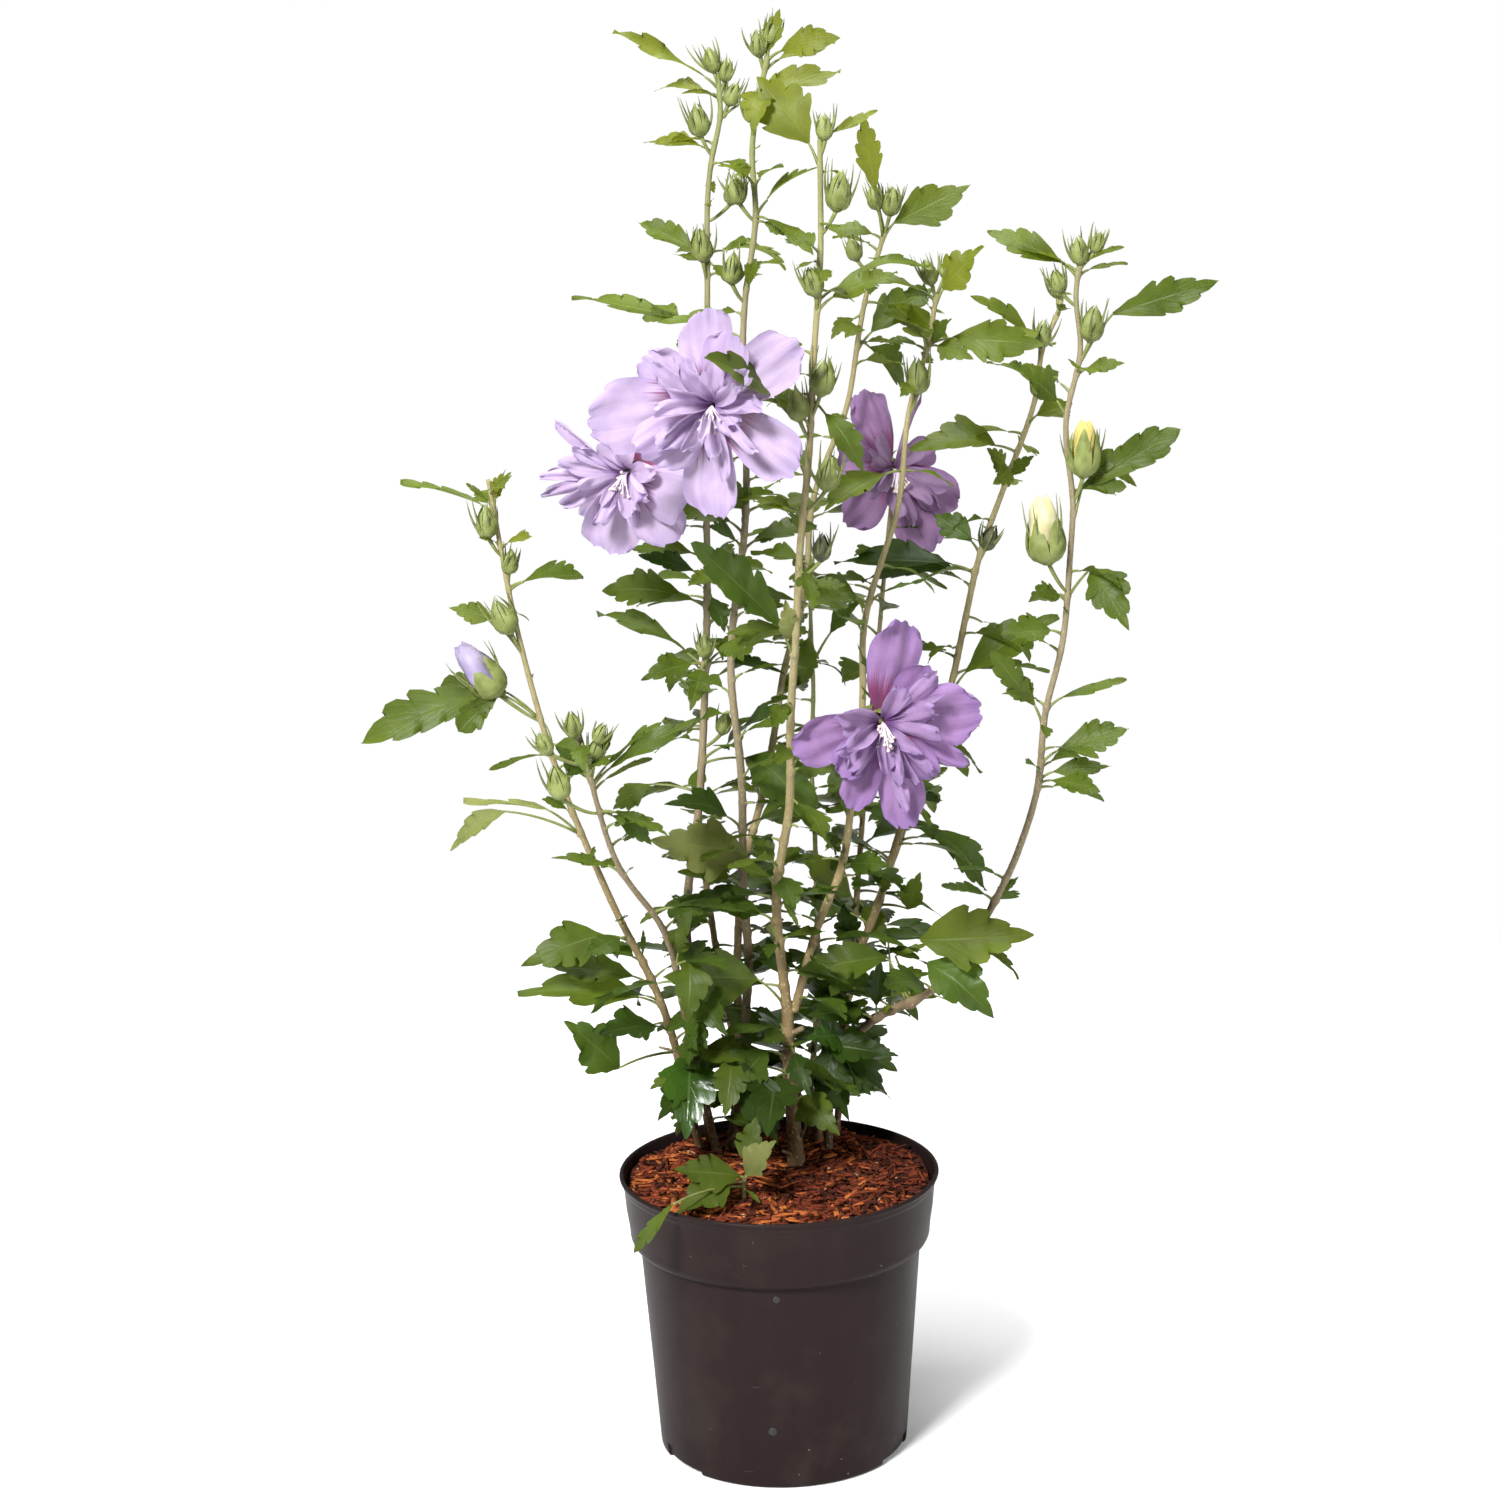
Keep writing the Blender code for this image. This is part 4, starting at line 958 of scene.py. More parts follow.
def smooth_line(points, step):
    """Points a step apart on the cubic curve through the given ones. Its direction at each of
    them is the mean of the slopes on both sides, the nearer neighbour counting more."""
    points = np.asarray(points, float)
    spans = np.linalg.norm(np.diff(points, axis=0), axis=1)
    knots = np.concatenate([[0], np.cumsum(spans)])
    slopes = np.diff(points, axis=0) / spans[:, None]
    before, after = spans[:-1, None], spans[1:, None]
    inner = (slopes[:-1] * after + slopes[1:] * before) / (before + after)
    slopes = np.vstack([slopes[:1], inner, slopes[-1:]])
    along = np.linspace(0, knots[-1], max(int(knots[-1] / step), 2) + 1)
    piece = np.clip(np.searchsorted(knots, along, side="right") - 1, 0, len(spans) - 1)
    span = spans[piece, None]
    t = (along - knots[piece])[:, None] / span
    start, end = points[piece], points[piece + 1]
    return (
        (2 * t**3 - 3 * t**2 + 1) * start
        + (t**3 - 2 * t**2 + t) * span * slopes[piece]
        + (3 * t**2 - 2 * t**3) * end
        + (t**3 - t**2) * span * slopes[piece + 1]
    )


def bent_line(start, middle, end, rows):
    """A line from start to end that leans towards the middle point: a quadratic curve."""
    t = np.linspace(0, 1, rows)[:, None] if np.isscalar(rows) else np.asarray(rows)[:, None]
    return (1 - t) ** 2 * start + 2 * t * (1 - t) * middle + t**2 * end


def tube_axes(line):
    """The two directions square to the line that a tube's rings turn through, row by row."""
    way = unit(np.gradient(line, axis=0))
    spare = np.eye(3)[np.argmin(np.abs(way).sum(axis=0))]
    side = unit(np.cross(spare, way))
    return side, np.cross(way, side)


def tube(line, radius, sides):
    """Rings of the given radius (one for each row, or rows x sides) across the line, closed at
    each end by a ring of no size."""
    side, over = tube_axes(line)
    turn = turns(sides)
    radius = np.broadcast_to(np.reshape(radius, (len(line), -1)), (len(line), sides))[..., None]
    out = np.cos(turn)[None, :, None] * side[:, None] + np.sin(turn)[None, :, None] * over[:, None]
    rings = line[:, None] + radius * out
    first = np.repeat(line[None, :1], sides, axis=1)
    last = np.repeat(line[None, -1:], sides, axis=1)
    return np.concatenate([first, rings, last])


class Limb:
    """One limb: its curve, its radius along it, and the heights of the nodes that swell it."""

    def __init__(self, name, rng):
        foot, tip, points = LIMBS[name]
        self.name = name
        self.line = smooth_line(points, LIMB_STEP)
        share = np.linspace(0, 1, len(self.line))
        fade = np.minimum(1, 6 * np.minimum(share, 1 - share))[:, None]
        waves = rng.uniform(*WOBBLE_WAVES, 3)
        starts = rng.uniform(0, 2 * np.pi, (3, 2))
        travel = np.arange(len(self.line)) * LIMB_STEP
        sway = np.sin(2 * np.pi * travel[:, None, None] / waves[:, None] + starts).sum(axis=1)
        self.line[:, :2] += WOBBLE * fade * sway / 1.8
        self.radius = foot + (tip - foot) * share**TAPER
        if name == "trunk":
            self.radius *= 1 + FLARE * np.exp(-(self.line[:, 2] - FOOT) / FLARE_HEIGHT)
        self.nodes = []

    def at(self, height):
        return np.array([np.interp(height, self.line[:, 2], self.line[:, axis]) for axis in range(3)])

    def radius_at(self, height):
        return float(np.interp(height, self.line[:, 2], self.radius))

    def surface(self, rng):
        """A tube with bark relief: furrows along old wood, small random warts, and at each node
        a ring and a cushion on the side that the leaf stands on."""
        old = np.clip((OLD_WOOD_TOP - self.line[:, 2]) / OLD_WOOD_FADE, 0, 1)
        turn = turns(LIMB_SIDES)
        drift = np.cumsum(rng.normal(0, 0.05, len(self.line)))[:, None]
        furrow = np.sin(5 * turn + drift * 3) * 0.5 + np.sin(7 * turn - drift * 5) * 0.5
        warts = rng.normal(0, 1, (len(self.line), LIMB_SIDES))
        warts = (warts + np.roll(warts, 1, 0) + np.roll(warts, 1, 1)) / 3
        scale = self.radius[:, None] * (1 + FURROWS * old[:, None] * furrow)
        relief = scale + (WARTS + OLD_WARTS * old[:, None]) * warts
        side, over = (axis.mean(axis=0) for axis in tube_axes(self.line))
        for height, flat in self.nodes:
            bearing = math.atan2(flat @ over, flat @ side)
            near = np.exp(-(((self.line[:, 2] - height) / NODE_SPREAD) ** 2))[:, None]
            facing = np.clip(np.cos(turn - bearing), 0, 1) ** 2
            relief = relief + self.radius[:, None] * near * (NODE_RING + NODE_CUSHION * facing)
        return tube(self.line, relief, LIMB_SIDES)


class Sight:
    """What the eye sees in cells of a few pixels: which of them are covered already, and how far
    from the eye the blooms are that cover them, so that no seeded leaf hangs before a bloom."""

    CELL = 4

    def __init__(self):
        self.right, self.up, self.forward = camera_axes()
        count = FRAME_PIXELS // self.CELL
        self.covered = np.zeros((count, count), bool)
        self.bloom = np.zeros((count, count))

    def look(self, points):
        """The row and the column of the cell that each point is in, and how far away it is."""
        away = np.reshape(points, (-1, 3)) - EYE
        distance = away @ self.forward
        scale = FRAME_PIXELS * LENS / SENSOR / distance
        column = (FRAME_PIXELS / 2 + scale * (away @ self.right)) / self.CELL
        row = (FRAME_PIXELS / 2 - scale * (away @ self.up)) / self.CELL
        top = len(self.covered) - 2
        return np.clip(row, 1, top).astype(int), np.clip(column, 1, top).astype(int), distance

    def cover(self, points, bloom=False):
        row, column, distance = self.look(points)
        for down in (0, 1):
            for over in (0, 1):
                self.covered[row + down, column + over] = True
                if bloom:
                    self.bloom[row + down, column + over] = distance

    def hidden_share(self, points):
        row, column, distance = self.look(points)
        return (self.covered[row, column] & (distance > self.bloom[row, column])).mean()


def camera_axes():
    """Right, up and forward of the camera, after its yaw, its pitch down and its roll."""
    yaw, pitch, roll = np.radians((YAW, PITCH, ROLL))
    level = np.array([math.cos(yaw), -math.sin(yaw), 0])
    ahead = np.array([math.sin(yaw), math.cos(yaw), 0])
    forward = ahead * math.cos(pitch) - UP * math.sin(pitch)
    rise = np.cross(level, forward)
    right = math.cos(roll) * level + math.sin(roll) * rise
    up = math.cos(roll) * rise - math.sin(roll) * level
    return right, up, forward


def blade(base, tip, normal, kind, rng, arch=None):
    """A leaf's blade as rows from base to tip and columns from its left to its right edge.

    The midrib is a quadratic curve that rises and then droops. The half width is read from the
    kind's outline, and rounded teeth that lean forward widen the edge row by row. The halves
    rise from the midrib in a V that flattens to the tip, and the margins wave."""
    knots, teeth, depth = LEAF_KINDS[kind]
    span = (1 - FIRST_TOOTH) / teeth
    rows = [(k, r, rise) for k in range(teeth) for r, rise in zip(TOOTH_ROWS, TOOTH_RISE)]
    s = np.array([*BASE_ROWS, *(FIRST_TOOTH + span * (k + r) for k, r, rise in rows), 1.0])
    saw = np.array([0, 0, 0, *(rise for k, r, rise in rows), 0])[:, None]
    number = np.array([0, 0, 0, *(k for k, r, rise in rows), teeth - 1])
    s = s + 0.02 * np.sin(2 * np.pi * s + rng.uniform(0, 6)) * np.sin(np.pi * s)
    u = np.array(ACROSS)
    edge = np.abs(u)[None, :]
    right = (u > 0).astype(int)
    along = s[:, None]
    chord = tip - base
    length = np.linalg.norm(chord)
    outline = np.interp(s, *zip(*knots))[:, None] * rng.uniform(*HALF_SPREAD, 2)[right] + 0.004
    size = depth * rng.uniform(*TOOTH_SPREAD, (teeth, 2))[number][:, right]
    size = size * np.clip((1 - along) * 5, 0.3, 1)
    outline = outline * (1 + size * (saw - 0.5) * (along > 0.25) * edge**5)
    level = unit(normal - chord * (normal @ chord) / length**2)
    drop = max(0.0, -chord[2] / length)
    arch = rng.uniform(*ARCH_SPREAD) + DROOP_ARCH * drop if arch is None else arch
    line = bent_line(base, base + chord * rng.uniform(*BEND_SPREAD) + level * arch * length, tip, s)
    way = unit(np.gradient(line, axis=0))
    side = unit(np.cross(way, level))
    twist = rng.uniform(*TWIST_SPREAD) * along
    face = np.cross(side, way)
    side = side * np.cos(twist) + face * np.sin(twist)
    face = np.cross(side, way)
    width = outline * length
    fold = rng.uniform(*FOLD_SPREAD) * (1 - 0.6 * along)
    wave = rng.uniform(*WAVE_HEIGHTS) * length
    turn = 2 * np.pi * rng.uniform(*WAVE_COUNTS) * along + rng.uniform(0, 6) + right[None, :] * 2.1
    lift = fold * edge * width + wave * np.sin(turn) * edge**2 * np.minimum(1, 3 * along)
    sweep = 0.30 * span * saw * edge**5 * np.clip((1 - along) * 6, 0, 1)
    points = line[:, None] + side[:, None] * (u * width)[..., None]
    return points + way[:, None] * (sweep * length)[..., None] + face[:, None] * lift[..., None]


def blades_of(base, tip, normal, kind, rng, arch=None):
    """The blades that make one leaf: three for a lobed one, whose side lobes leave the midrib
    near its foot and lean out from it."""
    if kind != "lobed":
        return [blade(base, tip, normal, kind, rng, arch)]
    chord = tip - base
    length = np.linalg.norm(chord)
    side = unit(np.cross(chord, normal))
    made = [blade(base, tip, normal, "middle_lobe", rng, arch)]
    for hand in (-1, 1):
        out = side * hand * rng.uniform(0.13, 0.20) + unit(normal) * rng.uniform(-0.03, 0.06)
        foot = base + chord * 0.06 - unit(normal) * 0.25
        end = base + chord * rng.uniform(0.32, 0.46) + out * length
        made.append(blade(foot, end, normal, "side_lobe", rng))
    return made


def tone_at(height):
    return next(tone for low, tone in TONE_HEIGHTS if height >= low)


def leaf(limb, height, right, back, up, kind, face, rng, stalk=None, arch=None, outside=None):
    """The blades and the stalk of a leaf, as grids. The stalk leaves the limb's surface and
    rises, and the blade starts where it ends. Its upper side leans to the eye, or to the
    outside of the crown where that is given."""
    start = limb.at(height)
    reach = np.array([right, back, up], float)
    tip = start + reach
    length = np.linalg.norm(reach)
    flat = unit([right, back, 0])
    if not isinstance(stalk, tuple):
        way = unit(unit(reach) + 0.25 * UP)
        stalk = (stalk or min(LONGEST_STALK, STALK_SHARE * length)) * way
    base = start + np.array(stalk)
    lift = 0.10 * np.linalg.norm(base - start) * UP
    start = start + flat * limb.radius_at(height) * 0.8
    front = unit(EYE - base) if outside is None else outside
    normal = unit((1 - face) * UP + face * (front + 0.25 * UP) + rng.normal(0, 0.16, 3))
    line = bent_line(start, (start + base) / 2 + lift, base, 7)
    limb.nodes.append((height, flat))
    return blades_of(base, tip, normal, kind, rng, arch), tube(line, np.linspace(0.95, 0.6, 7), 6)


def grow_crown(limbs, sight, rng):
    """Blades by tone and all stalks. The listed leaves come first. Then each limb gets a node
    every few steps, its leaf turned on by the golden angle, and a leaf is kept only where
    others cover it from the eye, so that the open gaps stay open."""
    blades = {tone: Heap() for tone in LEAF_TONES}
    stalks = Heap()
    for name, rows in LEAVES.items():
        for height, right, back, up, kind, face, *rest in rows:
            tone, stalk, arch = (*rest, None, None, None)[:3]
            tone = tone or tone_at(height)
            grids, stem = leaf(limbs[name], height, right, back, up, kind, face, rng, stalk, arch)
            stalks.grid(stem, ring=True)
            for grid in grids:
                blades[tone].grid(grid)
                sight.cover(grid)
    for name, limb in limbs.items():
        if name.startswith("bloom") or name == "stem_front_sprout":
            continue
        low, high = max(limb.line[0, 2], LOWEST_NODE), limb.line[-1, 2] - 3
        step = NODE_SPACING * (REAR_SPACING if "rear" in name else 1)
        height = low + rng.uniform(0, NODE_SPACING)
        turn = rng.uniform(0, 2 * np.pi)
        while height < high:
            turn += GOLDEN_TURN
            fill_node(limb, height, turn, blades, stalks, sight, rng)
            height += step + rng.uniform(-NODE_JITTER, NODE_JITTER)
    return blades, stalks


def fill_node(limb, height, turn, blades, stalks, sight, rng):
    """Tries leaves round a node, each smaller than the last, until one is hidden enough from
    the eye. Leaves are smaller up the crown, and a rear stem's leaf needs less cover."""
    share = np.clip((height - CROWN_FOOT) / CROWN_RISE, 0, 1)
    outside = unit(limb.at(height) * (1, 1, 0) + (0, 12, 0))
    cover = REAR_HIDDEN_SHARE if "rear" in limb.name else HIDDEN_SHARE
    for attempt in range(TRIES):
        bearing = turn + attempt * 2 * np.pi / TRIES
        reach = rng.uniform(*LEAF_REACH) * (1 - TOP_SHRINK * share) * (1 - TRY_SHRINK * attempt)
        rise = reach * rng.uniform(*LEAF_RISE)
        right, back = reach * math.cos(bearing), reach * math.sin(bearing)
        rise -= OUTWARD_DROOP * max(right * outside[0] + back * outside[1], 0)
        kind = rng.choice(SEEDED_KINDS)
        grids, stem = leaf(limb, height, right, back, rise, kind, OUTWARD_FACE, rng, outside=outside)
        if min(sight.hidden_share(grid) for grid in grids) >= cover:
            for grid in grids:
                blades[tone_at(height)].grid(grid)
            stalks.grid(stem, ring=True)
            return
        limb.nodes.pop()


def spokes(way, spare, count, start):
    """Directions square to the way, spaced evenly round it. They are counted from the one that is
    square to the spare direction too."""
    side = unit(np.cross(way, spare))
    turn = (turns(count) + start)[:, None]
    return side * np.cos(turn) + np.cross(way, side) * np.sin(turn)


def bud_body(base, way, length, radius, rows=12, sides=15):
    """A bud's body: rings along its axis whose radius is a sine of the share of the length raised
    to a power, with a rib for each lobe of the calyx."""
    s = np.linspace(0, 1, rows)
    line = base + way * (s * length)[:, None]
    girth = radius * np.maximum(np.sin(np.pi * s**0.66), 0.02) ** 0.85
    ridge = 1 + 0.08 * np.cos(LOBES * turns(sides))
    return tube(line, girth[:, None] * ridge, sides)


def rolled_tip(base, way, length, radius, rng, rows=13, sides=20):
    """The rolled petals that push out of a bud: a full body that narrows to a blunt, crumpled
    end, with a spiral fold round it."""
    s = np.linspace(0, 1, rows)
    line = base + way * (s * length)[:, None]
    turn = turns(sides)
    girth = np.interp(s, *zip(*ROLL_OUTLINE)) * radius
    fold = 1 + 0.13 * np.cos(2 * turn - 5 * s[:, None])
    fold = fold + 0.05 * np.sin(7 * turn + rng.uniform(0, 6))
    grid = tube(line, girth[:, None] * fold, sides)
    ends = 0.05 * length * np.sin(3 * turn + rng.uniform(0, 6))
    grid[-2] = grid[-2] + way * ends[:, None]
    return grid


def sepal(base, way, out, length, width, spread, rows=9):
    """A pointed lobe that hugs a bud: a strip whose belly is a sine, V across, widest low down and
    narrowing to a point. The spread bends its tip outwards."""
    s = np.linspace(0, 1, rows)
    u = np.array(ACROSS)
    side = unit(np.cross(way, out))
    belly = width * (1.02 * np.sin(np.pi * s**0.72) ** 0.8 + 0.12) + spread * s**3
    line = base + way * (s * length)[:, None] + out * belly[:, None]
    half = width * 0.66 * np.sin(np.pi * (0.12 + 0.88 * s**0.8)) ** 0.9
    ridge = (0.10 - 0.42 * (u**2)[None, :]) * half[:, None]
    return line[:, None] - side * (u * half[:, None])[..., None] + out * ridge[..., None]


def bract(base, way, out, length, spread, rng):
    """A narrow bract: it leaves the base outwards, turns up past the bud, and its tip leans out.
    The radius swells in the lower third and falls to a point."""
    middle = base + out * length * spread + way * length * rng.uniform(0.15, 0.35)
    end = base + way * length * rng.uniform(0.9, 1.1) + out * length * spread * rng.uniform(0.75, 1.35)
    side = np.cross(way, out) * length * rng.uniform(-0.16, 0.16)
    return tube(bent_line(base, middle, end + side, len(BRACT_RADII)), BRACT_RADII, 5)


def make_bud(limb, place, lean, length, stage, heaps, rng):
    """A bud on its stalk: a pointed calyx with its lobes, rolled petals in an older one, and a
    ring of bracts as long as the bud. The lobes stand off the rolled petals."""
    tilt = math.radians(lean)
    way = unit([math.sin(tilt), rng.uniform(-0.2, 0.1), math.cos(tilt)])
    base = np.asarray(place, float) - way * length / 2
    foot = limb.at(min(base[2] - 0.45 * length, limb.line[-1, 2]))
    middle = (foot + base) / 2 - way * 0.18 * np.linalg.norm(base - foot)
    stalk = bent_line(foot, middle, base + way, 8)
    heaps["stalk"].grid(tube(stalk, np.linspace(0.85, 1.25, 8), 7), ring=True)
    calyx, share, fill, girth = BUD_STAGES[stage]
    body, radius, spread = length * share, length * girth, SHUT_SPREAD
    heaps[calyx].grid(bud_body(base, way, body * fill, radius * 0.92), ring=True)
    if stage in OPEN_STAGES:
        spread = OPEN_SPREAD * length
        roll = rolled_tip(base + way * length * ROLL_START, way, length * ROLL_LENGTH, radius, rng)
        heaps[stage].grid(roll, ring=True)
    for out in spokes(way, BUD_SPARE, LOBES, rng.uniform(0, 1)):
        lobe = sepal(base, way, out, body * rng.uniform(0.92, 1.08), radius, spread)
        heaps[calyx].grid(lobe)
    count = int(rng.integers(6, 9))
    for out in spokes(way, BUD_SPARE, count, rng.uniform(0, 1)):
        reach = length * rng.uniform(0.7, 1.05)
        heaps["bract"].grid(bract(base, way, out, reach, rng.uniform(0.28, 0.46), rng), ring=True)


def petal(heart, axis, bearing, reach, half, lean, rng, curl, rows=22, columns=17, crumple=1.0):
    """A petal as rows from its claw to its margin and columns across it.

    Its midline leaves the heart steeply towards the face and bends over to the given lean: the
    angle falls off as an exponential. The half width is read from the outline, which is broad
    and blunt at the end. Across, it is an arc of the given curl, turned more and more towards
    the tip. Fine pleats run along it and creases across it, and the margin is ruffled and
    ragged. The crumple deepens all of these."""
    right = unit(np.cross(UP, axis))
    rise = np.cross(axis, right)
    angle = math.radians(bearing)
    out = right * math.cos(angle) + rise * math.sin(angle)
    side = np.cross(out, axis)
    s = np.linspace(0, 1, rows)[:, None] ** 0.9
    u = np.linspace(-1, 1, columns)[None, :]
    fine = np.linspace(0, 1, 80)
    last = math.radians(lean)
    slope = last + (math.radians(rng.uniform(*START_SLOPE)) - last) * np.exp(-5 * fine)
    over, forward = np.cumsum(np.cos(slope)), np.cumsum(np.sin(slope))
    over, forward = over / over[-1], forward / over[-1]
    ragged = RAGGED * np.sin(u * rng.uniform(6, 12) + rng.uniform(0, 6))
    ragged = ragged + FRAYED * np.sin(u * 21 + rng.uniform(0, 6))
    place = s * (1 - (rng.uniform(*ROUNDED) * np.abs(u) ** 2.4 - ragged) * s**2)
    tilt = np.interp(place, fine, slope)
    width = half * np.interp(s, *zip(*PETAL_OUTLINE))
    bow = curl * u
    across = width * np.sin(bow) / curl
    deep = width * (1 - np.cos(bow)) / abs(curl) * np.sign(curl)
    twist = rng.uniform(*PETAL_TWIST) * crumple**1.4 * s
    cos, sin = np.cos(twist), np.sin(twist)
    across, deep = across * cos - deep * sin, across * sin + deep * cos
    pleats = PLEAT * np.sin(u * rng.uniform(7, 12) + rng.uniform(0, 6) + s) * s**0.7
    ruffle = RUFFLE * np.sin(u * rng.uniform(3, 6) + rng.uniform(0, 6) + 5 * s)
    ruffle = ruffle * s**2 * (0.4 + 0.6 * np.abs(u))
    wave = s * rng.uniform(9, 15) + 4 * u * rng.uniform(-1, 1) + rng.uniform(0, 6)
    crease = CREASE * np.sin(wave) * s
    deep = deep + (pleats + ruffle + crease) * reach * min(1, half / 9) * crumple
    bend = rng.uniform(*PETAL_BEND) * crumple * reach * s**2
    outwards = 1.5 + reach * np.interp(place, fine, over) - deep * np.sin(tilt)
    towards = reach * np.interp(place, fine, forward) + deep * np.cos(tilt)
    return heart + out * outwards[..., None] + side * (across + bend)[..., None] + axis * towards[..., None]


def make_bloom(name, heaps, rng):
    """A double bloom: broad petals, a loose crowd of narrow ones that stray from their rows in
    the table, stamens that hang from the heart, and behind it a calyx with bracts on a stalk."""
    heart, facing, tone, carrier, outer_rows, inner_rows = BLOOMS[name]
    heart = np.array(heart, float)
    axis = unit(facing)
    outer, inner = Heap(), Heap()
    for order, (bearing, reach, half, lean) in enumerate(outer_rows):
        seat = heart - axis * (CUP_BACK - 7 * order / len(outer_rows))
        curl = rng.uniform(*BROAD_CURL) * rng.choice(CURL_SIDES)
        outer.grid(petal(seat, axis, bearing, reach, half, lean, rng, curl))
    for bearing, reach, half, lean in inner_rows:
        curl = rng.uniform(*NARROW_CURL) * rng.choice(CURL_SIDES)
        bearing, lean = bearing + rng.uniform(*BEARING_STRAY), lean + rng.uniform(*LEAN_STRAY)
        narrow = petal(heart, axis, bearing, reach, half, lean, rng, curl, rows=18, columns=11, crumple=1.9)
        inner.grid(narrow)
    hang = unit(axis * 0.9 - UP * 0.75)
    for _ in range(STAMENS):
        spread = unit(rng.normal(0, 1, 3))
        end = heart + hang * rng.uniform(*STAMEN_REACH) + spread * rng.uniform(*STAMEN_SPREAD)
        line = bent_line(heart, heart + axis * 9, end, 6)
        heaps["stamen"].grid(tube(line, np.linspace(0.45, 0.3, 6), 5), ring=True)
        knob = bent_line(end - axis * 0.6, end, end + axis * 1.1, 4)
        heaps["anther"].grid(tube(knob, np.array([0.6, 1.05, 1.0, 0.5]), 6), ring=True)
    cup = heart - axis * CUP_BACK
    foot = np.array(carrier, float)
    stalk = bent_line(foot, (foot + cup) / 2, cup, 7)
    heaps["stalk"].grid(tube(stalk, np.linspace(1.3, 2.2, 7), 8), ring=True)
    for out in spokes(axis, BLOOM_SPARE, LOBES, 0):
        heaps["calyx"].grid(sepal(heart - axis * CALYX_BACK, axis, out, *CALYX_LOBE))
    for out in spokes(axis, BLOOM_SPARE, BLOOM_BRACTS, 0):
        narrow = bract(heart - axis * BRACTS_BACK, axis, out, *BLOOM_BRACT, rng)
        heaps["bract"].grid(narrow, ring=True)
    make_piece(name + "_petals", outer, "petal_" + tone, [name])
    make_piece(name + "_heart_petals", inner, "heart_" + tone)
    return outer.points + inner.points


def mulch_height(x, y):
    """The height of the mulch: a low dome that falls off as the square of the distance from the
    middle, heaped up at the back by a step that is smooth, with uneven ground on it."""
    edge = np.clip(np.hypot(x, y) / MULCH_RADIUS, 0, 1) ** 2
    dome = MULCH_EDGE + (MULCH_CROWN - MULCH_EDGE) * (1 - edge)
    dome = dome + MULCH_HEAP * edge / (1 + np.exp(-y / 14))
    uneven = np.sin(x * 0.11 + 1) * np.cos(y * 0.13 - 0.4) + 0.6 * np.sin(x * 0.31 + y * 0.23)
    return dome + uneven * 1.1


def splinters(count, lengths, widths, thickness, tilt, painted_light_left_share, rng):
    """Splinters strewn over the mulch: each is a box that tapers, its corners pushed about. Those
    that would reach past the bed's edge are pulled in, and the foot of the trunk stays clear."""
    radius = STREW_RADIUS * np.sqrt(rng.uniform(0, 1, count))
    bearing = rng.uniform(0, 2 * np.pi, count)
    length = rng.uniform(*lengths, count) * rng.uniform(0.6, 1, count)
    width = rng.uniform(*widths, count)
    x, y = radius * np.cos(bearing), radius * np.sin(bearing)
    lie = rng.uniform(0, 2 * np.pi, count)
    over = np.hypot(x, y) + length * 0.5 * np.abs(np.cos(lie - bearing))
    pull = np.minimum(1, (STREW_RADIUS + 0.5) / np.maximum(over, 1))
    x, y = x * pull, y * pull
    trunk_x, trunk_y, _ = LIMBS["trunk"][2][0]
    clear = np.hypot(x - trunk_x, y - trunk_y) > TRUNK_CLEARANCE
    # Painted light and shade: how often a splinter is kept depends on its side, so the pale and orange ones
    # gather on the lit left and the dark ones on the shaded right.
    clear &= rng.uniform(0, 1, count) < 0.5 - painted_light_left_share * x / STREW_RADIUS
    slope = rng.normal(0, tilt, count)
    along = np.stack([np.cos(lie) * np.cos(slope), np.sin(lie) * np.cos(slope), np.sin(slope)], axis=-1)
    side = unit(np.cross(UP + rng.normal(0, 0.25, (count, 3)), along))
    top = np.cross(along, side)
    middle = np.stack([x, y, mulch_height(x, y) + rng.uniform(*STREW_HEIGHTS, count)], axis=-1)
    ends = np.array([-1, -1, -1, -1, 1, 1, 1, 1])
    sides = np.array([-1, 1, 1, -1, -1, 1, 1, -1])
    tops = np.array([-1, -1, 1, 1, -1, -1, 1, 1])
    push = rng.uniform(0.45, 1.15, (count, 8, 3))
    corners = (
        middle[:, None]
        + along[:, None] * (ends * length[:, None] * 0.5)[..., None] * push[..., :1]
        + side[:, None] * (sides * width[:, None] * 0.5)[..., None] * push[..., 1:2]
        + top[:, None] * (tops * thickness * 0.5)[..., None] * push[..., 2:]
    )[clear]
    faces = np.array([[0, 3, 2, 1], [4, 5, 6, 7], [0, 1, 5, 4], [1, 2, 6, 5], [2, 3, 7, 6], [3, 0, 4, 7]])
    heap = Heap()
    every = (np.arange(len(corners)) * 8)[:, None, None] + faces
    heap.add(corners.reshape(-1, 3), every.reshape(-1, 4), np.zeros((len(corners) * 6, 4, 2)))
    return heap


def make_mulch(rng):
    """The bed of mulch with its skirt inside the pot, and the splinters on it by colour."""
    turn = turns(BED_SIDES)
    radius = np.linspace(0, BED_RADIUS, BED_ROWS)[:, None]
    x, y = radius * np.cos(turn), radius * np.sin(turn)
    fray = rng.normal(0, 0.5, x.shape) * (radius > 1)
    top = np.stack([x, y, mulch_height(x, y) + fray], axis=-1)[::-1]
    skirt = top[:1] * (0.94, 0.94, 0) + SKIRT_HEIGHT * UP
    centre = skirt * (0, 0, 1)
    bed = Heap()
    bed.grid(np.concatenate([centre, skirt, top]), ring=True)
    make_piece("mulch_bed", bed, "mulch_dark", ["bark_mulch"])
    for colour, look in SPLINTERS.items():
        heap = splinters(*look, rng)
        make_piece("splinters_" + colour, heap, "mulch_" + colour, smooth=False)


